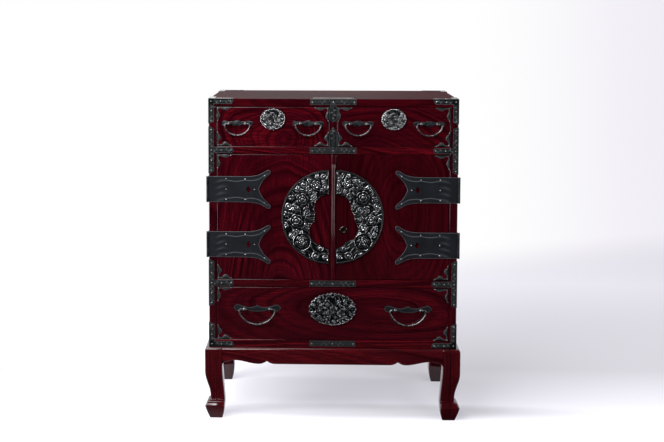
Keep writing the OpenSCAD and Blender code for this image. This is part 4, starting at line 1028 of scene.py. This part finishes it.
def key_ring():
    """Ring round the door's keyhole: turned, with a round crest and a dish that sinks to a dark
    hole."""
    low, high = limits("keyhole_ring")
    mid, r, sides = (low + high) / 2, (high[0] - low[0]) / 2, 32
    profile = [(0, 0), (r, 0), (r, 1.4), (r - 0.4, 2.4), (r - 1.3, 3.1), (r - 2.4, 3.3),
               (r - 3.6, 2.9), (r - 5.2, 2.1), (4.6, 1.9), (3.9, 1.6), (3.6, 0.5), (0, 0.4)]
    rub = np.repeat((0, 0.4, 0.7, 0.9, 1, 1, 0.9, 0.6, 0.6, 0.3, 0, 0), sides)
    piece("key_ring", "right_door", ring_iron,
          [put((*turned(profile, sides), rub), shift(mid[0], mid[2]), on_front)],
          ["keyhole_ring"])


key_ring()


KEY_DOWN, BOSS_R, HOLE_R = 24, 8, 4.2


def lock_plate(drawer, finish, bumps, flowers, scrolls, fine=1.0):
    """Oval cast plate with a lobed edge, flowers among leaves, and a keyhole in a round boss."""
    low, high = limits(drawer + "_lock_plate")
    mid, half = (low + high) / 2, (high - low) / 2
    key = limits(drawer + "_front")[1][2] - KEY_DOWN - mid[2]

    def edge(a):
        oval = half[0] * half[2] / np.hypot(half[2] * np.cos(a), half[0] * np.sin(a))
        return oval * (0.95 + 0.05 * np.abs(np.cos(a * bumps / 2)))

    def height(u, v, rim):
        h = carved(u, v, flowers, scrolls, 1.0, fine=fine)
        bead = bell(rim, 2.8, 1.5) * (0.2 + 0.5 * np.abs(np.cos(np.arctan2(v, u) * bumps)))
        h = np.where(rim < 6, bead, h)
        r = np.hypot(u, v - key)
        h = np.where(r < BOSS_R, 0.75 - 0.2 * np.clip(r / BOSS_R, 0, 1), h)
        hole = smooth((HOLE_R - r) / 1.2)
        return (2.4 + lift(rim, 1.0, 0.8) - 1.0 + 5.0 * np.clip(h, 0, 1)) * (1 - hole) + 0.4 * hole

    part, top = disc(edge, height, 64, cols=260)
    piece(drawer + "_flower_plate", drawer, finish,
          [put((*part, ridge_rub(top)), shift(mid[0], mid[2]), on_front)],
          [drawer + "_lock_plate"], RELIEF_CREASE)


for drawer in DRAWERS[:2]:
    lock_plate(drawer, bright_relief_iron, 17, [((-9, -8), 15, 20), ((17, -2), 11, 0)],
               [((-22, 12), 9, 0), ((2, -25), 8, 120), ((26, 16), 7, 200), ((24, -20), 8, 300),
                ((-28, -14), 7, 90)])
lock_plate("lower_drawer", dark_relief_iron, 27,
           [((-38, -4), 14, 10), ((2, -10), 13, 40), ((38, 0), 14, 70), ((-18, -32), 8, 0),
            ((24, -31), 8, 20), ((-22, 26), 8, 50)],
           [((-58, 12), 7, 0), ((-16, 14), 7, 100), ((20, 22), 7, 260), ((58, -16), 7, 30),
            ((-40, -28), 7, 200), ((4, -38), 7, 0), ((60, 12), 7, 140), ((-60, -12), 7, 320),
            ((38, 26), 7, 80), ((-40, 24), 7, 250), ((42, -28), 7, 170), ((-17, -12), 6, 60),
            ((20, -14), 6, 210), ((0, 10), 5, 120)], 1.4)


# Handles

POST_OUT, FRONT_T = 10.5, 20


def bail_path(half, drop):
    """Centre line of a bail's right half, in U and height: a flat low arc, a side arc and a
    tight bend into the eye, which lie in line where they meet."""
    bend, side = 6.0, 0.5 * drop
    low = ((half - side) ** 2 + (drop - bend) ** 2 - side ** 2) / (2 * (drop - bend - side))
    turn = atan2(low - drop + bend, half - side)

    def arc(cu, cv, r, start, end):
        a = np.linspace(start, end, 40)
        return np.column_stack((cu + r * np.cos(a), cv + r * np.sin(a)))

    return np.concatenate((arc(0, low - drop, low, -pi / 2, -turn),
                           arc(half - side, -bend, side, -turn, 0)[1:],
                           arc(half - bend, -bend, bend, 0, pi / 2)[1:]))


def bail(half, drop, stub, wire):
    """Bail: a round bar whose lower part is cut into beads and grows a little thicker."""
    right = np.concatenate((bail_path(half, drop), [[stub, 0]]))
    line = np.concatenate((right[::-1] * (-1, 1), right[1:]))
    s = np.concatenate(([0], np.cumsum(np.hypot(*np.diff(line, axis=0).T))))
    even = np.linspace(0, s[-1], 300)
    u, v = np.interp(even, s, line[:, 0]), np.interp(even, s, line[:, 1])
    grip = smooth((0.62 * half - np.abs(u)) / 4) * (v < -drop * 0.5)
    beads = np.abs(np.sin(pi * (even - s[-1] / 2) / (2.1 * wire)))
    radius = wire * (0.92 + 0.1 * smooth(-v / drop) + grip * (0.24 * beads - 0.1))
    return tube(np.column_stack((u, 0 * u, v)), radius)


# Upper and lower edge of a wing, as heights at shares of its half width
SMALL_WING = (((0, 9.3), (0.1, 8.6), (0.22, 6.6), (0.36, 5.6), (0.56, 6.2), (0.76, 7.4),
               (0.88, 7.2), (0.96, 5.0), (1, 1.6)),
              ((0, -8.3), (0.12, -7.7), (0.24, -5.9), (0.36, -3.6), (0.5, -2.8), (0.64, -3.3),
               (0.76, -5.8), (0.88, -8.2), (0.96, -5.6), (1, -1.0)))
LARGE_WING = (((0, 10.7), (0.05, 9.2), (0.12, 6.4), (0.22, 4.6), (0.32, 3.9), (0.5, 5.6),
               (0.68, 9.4), (0.82, 12.4), (0.9, 11.6), (0.96, 8.0), (1, 3.0)),
              ((0, -9.6), (0.1, -9.2), (0.26, -8.2), (0.4, -5.2), (0.54, -5.6), (0.7, -7.6),
               (0.84, -8.0), (0.94, -5.4), (1, -0.6)))


def wing_plate(half, wing):
    """Backing plate like spread wings: smooth lines through measured points give its upper and
    lower edge, and its middle swells."""
    u = (half * (2 * eased(96) - 1))[:, None]
    t = eased(12)[None, :]
    q = np.abs(u) / half
    top, low = (through(line, q) for line in wing)
    rim = np.minimum(np.minimum(t, 1 - t) * (top - low), (1 - q) * half)
    rub = 0.12 * bell(rim, 1.3, 0.8)
    swell = 0.5 * np.sin(pi * t) * bell(q, 0, 0.3)
    return plate(u + 0 * t, low + (top - low) * t, lift(rim, 1.6, 0.7) + swell, rub)


def handles(drawer, post, eye, wire, wing, finish):
    """Handles of a drawer: wing plates, posts with round eyes, nuts behind, and the bails. post
    is how far a post stands from the handle's middle, eye and wire are radii."""
    low, high = limits(drawer + "_handle_mounts")
    bail_low, bail_high = limits(drawer + "_bail_a")
    half_bail = (bail_high[0] - bail_low[0]) / 2
    level = bail_high[2] - wire - 0.35
    half_plate = (bail_low[0] + half_bail) - low[0]
    ball = np.radians(np.linspace(-52, 90, 12))
    profile = [(0, -FRONT_T - 3), (5.4, -FRONT_T - 3), (6, -FRONT_T - 2.4), (6, -FRONT_T - 0.4),
               (5.6, -FRONT_T), (2.5, -FRONT_T), (2.5, 1.0), (3.6, 1.5), (3.3, 2.4), (2.7, 3.4),
               (2.8, 5.0), *zip(eye * np.cos(ball), POST_OUT + eye * np.sin(ball))]
    plates, posts = [], []
    for letter in "ab":
        box = limits(f"{drawer}_bail_{letter}")
        mid = (box[0][0] + box[1][0]) / 2
        plates.append(put(wing_plate(half_plate, wing), shift(mid, level), on_front))
        for side in (-post, post):
            posts.append(put(turned(profile), shift(mid + side, level), on_front))
        ring = bail(half_bail - wire, level - box[0][2] - wire, post - eye - 1, wire)
        piece(f"{drawer}_handle_{letter}", f"{drawer.removesuffix('_drawer')}_bail_{letter}",
              handle_iron,
              [put(ring, lambda p: p + (mid, FRONT - POST_OUT, level))],
              [f"{drawer}_bail_{letter}"], 60)
    piece(drawer + "_wing_plates", drawer, finish, plates,
          [drawer + "_handle_mounts"])
    piece(drawer + "_handle_posts", drawer, handle_iron, posts, (), 50)


for drawer in DRAWERS[:2]:
    handles(drawer, 24.7, 5.1, 2.4, SMALL_WING, plate_iron)
handles("lower_drawer", 39.2, 5.6, 2.9, LARGE_WING, sheet_iron)


# Camera: set as the photograph shows the chest, with the frame's shift

IMAGE_W, IMAGE_H, SENSOR = 664, 442, 36


def facing(place, right, up, back):
    """Matrix of a thing at a place in metres that looks away from back."""
    turn = Matrix(np.column_stack((right, up, back)).tolist()).to_4x4()
    return Matrix.Translation(place) @ turn


def camera(place, yaw, pitch, roll, focal, middle):
    """Camera at a place in millimetres, turned to the right by yaw and down by pitch. focal is
    in pixels of the image, and middle is where its axis meets the image."""
    y, p, r = radians(yaw), radians(pitch), radians(roll)
    ahead = np.array((sin(y) * cos(p), cos(y) * cos(p), -sin(p)))
    right = np.array((cos(y), -sin(y), 0))
    up = np.cross(right, ahead)
    right, up = cos(r) * right + sin(r) * up, cos(r) * up - sin(r) * right
    data = bpy.data.cameras.new("camera")
    data.sensor_width = SENSOR
    data.lens = focal * SENSOR / IMAGE_W
    data.shift_x = (IMAGE_W / 2 - middle[0]) / IMAGE_W
    data.shift_y = (middle[1] - IMAGE_H / 2) / IMAGE_W
    data.clip_end = 50
    obj = bpy.data.objects.new("camera", data)
    obj.matrix_world = facing(np.array(place) * MM, right, up, -ahead)
    bpy.context.scene.collection.objects.link(obj)
    bpy.context.scene.camera = obj


camera((-27.2, -3708.45, 1233.4), -1.72, 4.12, 0.09, 1156.5, (289.7, 102.4))


# Floor, lamps and surroundings

def lamp(name, place, aim, size, power, mirrored=True):
    """Soft square lamp, in metres and watts, turned to what it lights. Glossy surfaces mirror
    it or not."""
    data = bpy.data.lights.new(name, "AREA")
    data.shape = "RECTANGLE"
    data.size, data.size_y = size
    data.energy = power
    obj = bpy.data.objects.new(name, data)
    back = np.array(place, float) - np.array(aim, float)
    back /= np.linalg.norm(back)
    side = np.cross((0, 0, 1), back)
    side /= np.linalg.norm(side)
    obj.matrix_world = facing(place, side, np.cross(back, side), back)
    obj.visible_camera = False
    obj.visible_glossy = mirrored
    bpy.context.scene.collection.objects.link(obj)


lamp("key_left", (-1.13, -1.8, 2.25), (0, -0.2, 0.5), (1.8, 1.0), 86)
lamp("side_left", (-2.3, -1.2, 1.02), (0, -0.2, 0.6), (0.9, 1.9), 58)
lamp("overhead", (-0.7, 0.1, 2.9), (-0.1, 0, 0.3), (1.6, 1.6), 40)
lamp("front_right", (1.8, -2.4, 2.4), (0, -0.2, 0.5), (1.0, 1.0), 40, False)
lamp("fill_right", (2.6, -1.0, 1.2), (0, -0.1, 0.5), (0.8, 1.6), 36)
lamp("fill_back", (-0.6, 3.2, 2.2), (0, 0.6, 0.3), (2.0, 1.2), 18)


def emission(tree, colour, strength=1.0):
    return add(tree, "Emission", {"Color": colour, "Strength": strength})


def mixed(tree, share, first, second):
    return add(tree, "MixShader", {0: share, 1: first, 2: second})


def painted_shade_falloff(tree, lean):
    """Painted shade that the pale surroundings take on towards +X: a smooth step of how far a
    direction leans that way."""
    return add(tree, "MixRGB", {"Fac": ranged(tree, lean, 0.11, 0.3, kind=SOFT),
                                "Color1": linear("#ffffff"),
                                "Color2": linear("#f0edf5")}).outputs[0]


def seen_directly(tree, rays):
    """One for rays from the camera, straight or through glass."""
    return maths(tree, "MAXIMUM", rays["Is Camera Ray"], rays["Is Transmission Ray"])


def paper(tree):
    """White paper. To the camera, part of its brightness is its own near the chest, a glow made
    stronger on the left as painted light, and all of it far away and on the left, so that it keeps
    the chest's shadow and runs out into the white surroundings. A painted shadow makes it greyer on
    the right behind the chest than in front, and darker in an oval under the chest, and far off a
    painted shade greys it towards +X. In the lacquer's reflections the lit paper ends a little way
    in front of the feet, and reaches far on the left; beyond that it is painted dark."""
    rays = add(tree, "LightPath").outputs
    here = add(tree, "TexCoord").outputs["Object"]
    x, y, _ = add(tree, "SeparateXYZ", {"Vector": here}).outputs
    distance = vectors(tree, "LENGTH", here).outputs["Value"]
    away = ranged(tree, maths(tree, "MULTIPLY_ADD", x, -0.8, distance), 1.2, 2.1, kind=SOFT)
    lean = maths(tree, "DIVIDE", x, maths(tree, "ADD", distance, 3.7))
    matt = add(tree, "BsdfDiffuse", {"Color": linear("#b5b4b9")})
    # Painted light: the paper's own glow is stronger on the left of the chest.
    glow = emission(tree, linear("#f7f5ff"), ranged(tree, x, -0.32, -0.02, 0.72, 0.57))
    near = add(tree, "AddShader", {0: matt, 1: glow})
    # Painted shadow: grey behind the chest towards the right, and an oval of shadow under the
    # chest, mixed in as black over the paper.
    behind = ramp(tree, ranged(tree, y, -0.35, 1.65), (0.0, "#000000"), (0.1, "#484848"),
                  (0.17, "#6c6c6c"), (0.34, "#949494"), (0.5, "#848484"), (1.0, "#000000"))
    oval = vectors(tree, "MULTIPLY_ADD", here, (1.3, 12.0, 0.0), (-0.13, 1.56, 0.0))
    under = ranged(tree, vectors(tree, "LENGTH", oval).outputs["Value"], 1.1, 0.4, 0.0, 0.25, SOFT)
    grey = maths(tree, "MULTIPLY_ADD", behind, ranged(tree, x, -0.25, 0.35), under)
    near = mixed(tree, grey, near, emission(tree, linear("#000000"), 0.0))
    # Far off the paper glows white, greyed towards +X by painted shade.
    seen = mixed(tree, away, near, emission(tree, painted_shade_falloff(tree, lean)))
    # Painted dark: in reflections the paper in front of the feet is a dark grey, as if unlit.
    ahead = vectors(tree, "DOT_PRODUCT", here, (0.1, -1.0, 0.0)).outputs["Value"]
    aside = maths(tree, "MINIMUM", maths(tree, "ADD", x, 0.6), 0.0)
    ahead = maths(tree, "MULTIPLY_ADD", aside, 0.5, ahead)
    dark = add(tree, "BsdfDiffuse", {"Color": linear("#181818")})
    reflected = mixed(tree, ranged(tree, ahead, 0.1, 0.24, kind=SOFT), seen, dark)
    lit = mixed(tree, rays["Is Glossy Ray"], matt, reflected)
    add(tree, "OutputMaterial", {"Surface": mixed(tree, seen_directly(tree, rays), lit, seen)})


def sky(tree):
    """Pale surroundings that the camera sees at full strength, and so do reflections that look
    back or to the left; the studio is unlit in front of the chest."""
    rays = add(tree, "LightPath").outputs
    towards = add(tree, "TexCoord").outputs["Generated"]
    lean = add(tree, "SeparateXYZ", {"Vector": towards}).outputs["X"]
    dim = add(tree, "Background", {"Color": linear("#f4f4f8"), "Strength": 0.035})
    # Painted shade: the white surroundings grey towards +X.
    white = add(tree, "Background", {"Color": painted_shade_falloff(tree, lean), "Strength": 1.0})
    lit = vectors(tree, "DOT_PRODUCT", towards, (-0.5, 0.87, 0.0)).outputs["Value"]
    lit = maths(tree, "MULTIPLY", ranged(tree, lit, -0.3, 0.1, kind=SOFT), rays["Is Glossy Ray"])
    shown = maths(tree, "MAXIMUM", lit, seen_directly(tree, rays))
    add(tree, "OutputWorld", {"Surface": mixed(tree, shown, dim, white)})


def studio():
    """Pale floor and surroundings."""
    scene = bpy.context.scene
    scene.view_settings.view_transform = "Standard"
    floor_mesh = bpy.data.meshes.new("floor")
    far = 60.0
    floor_mesh.from_pydata([(-far, -far, 0), (far, -far, 0), (far, far, 0), (-far, far, 0)],
                           [], [(0, 1, 2, 3)])
    floor = bpy.data.objects.new("floor", floor_mesh)
    scene.collection.objects.link(floor)
    material = bpy.data.materials.new("paper_floor")
    floor_mesh.materials.append(material)
    scene.world = bpy.data.worlds.new("studio")
    for block, fill in ((material, paper), (scene.world, sky)):
        block.use_nodes = True
        block.node_tree.nodes.clear()
        fill(block.node_tree)


studio()
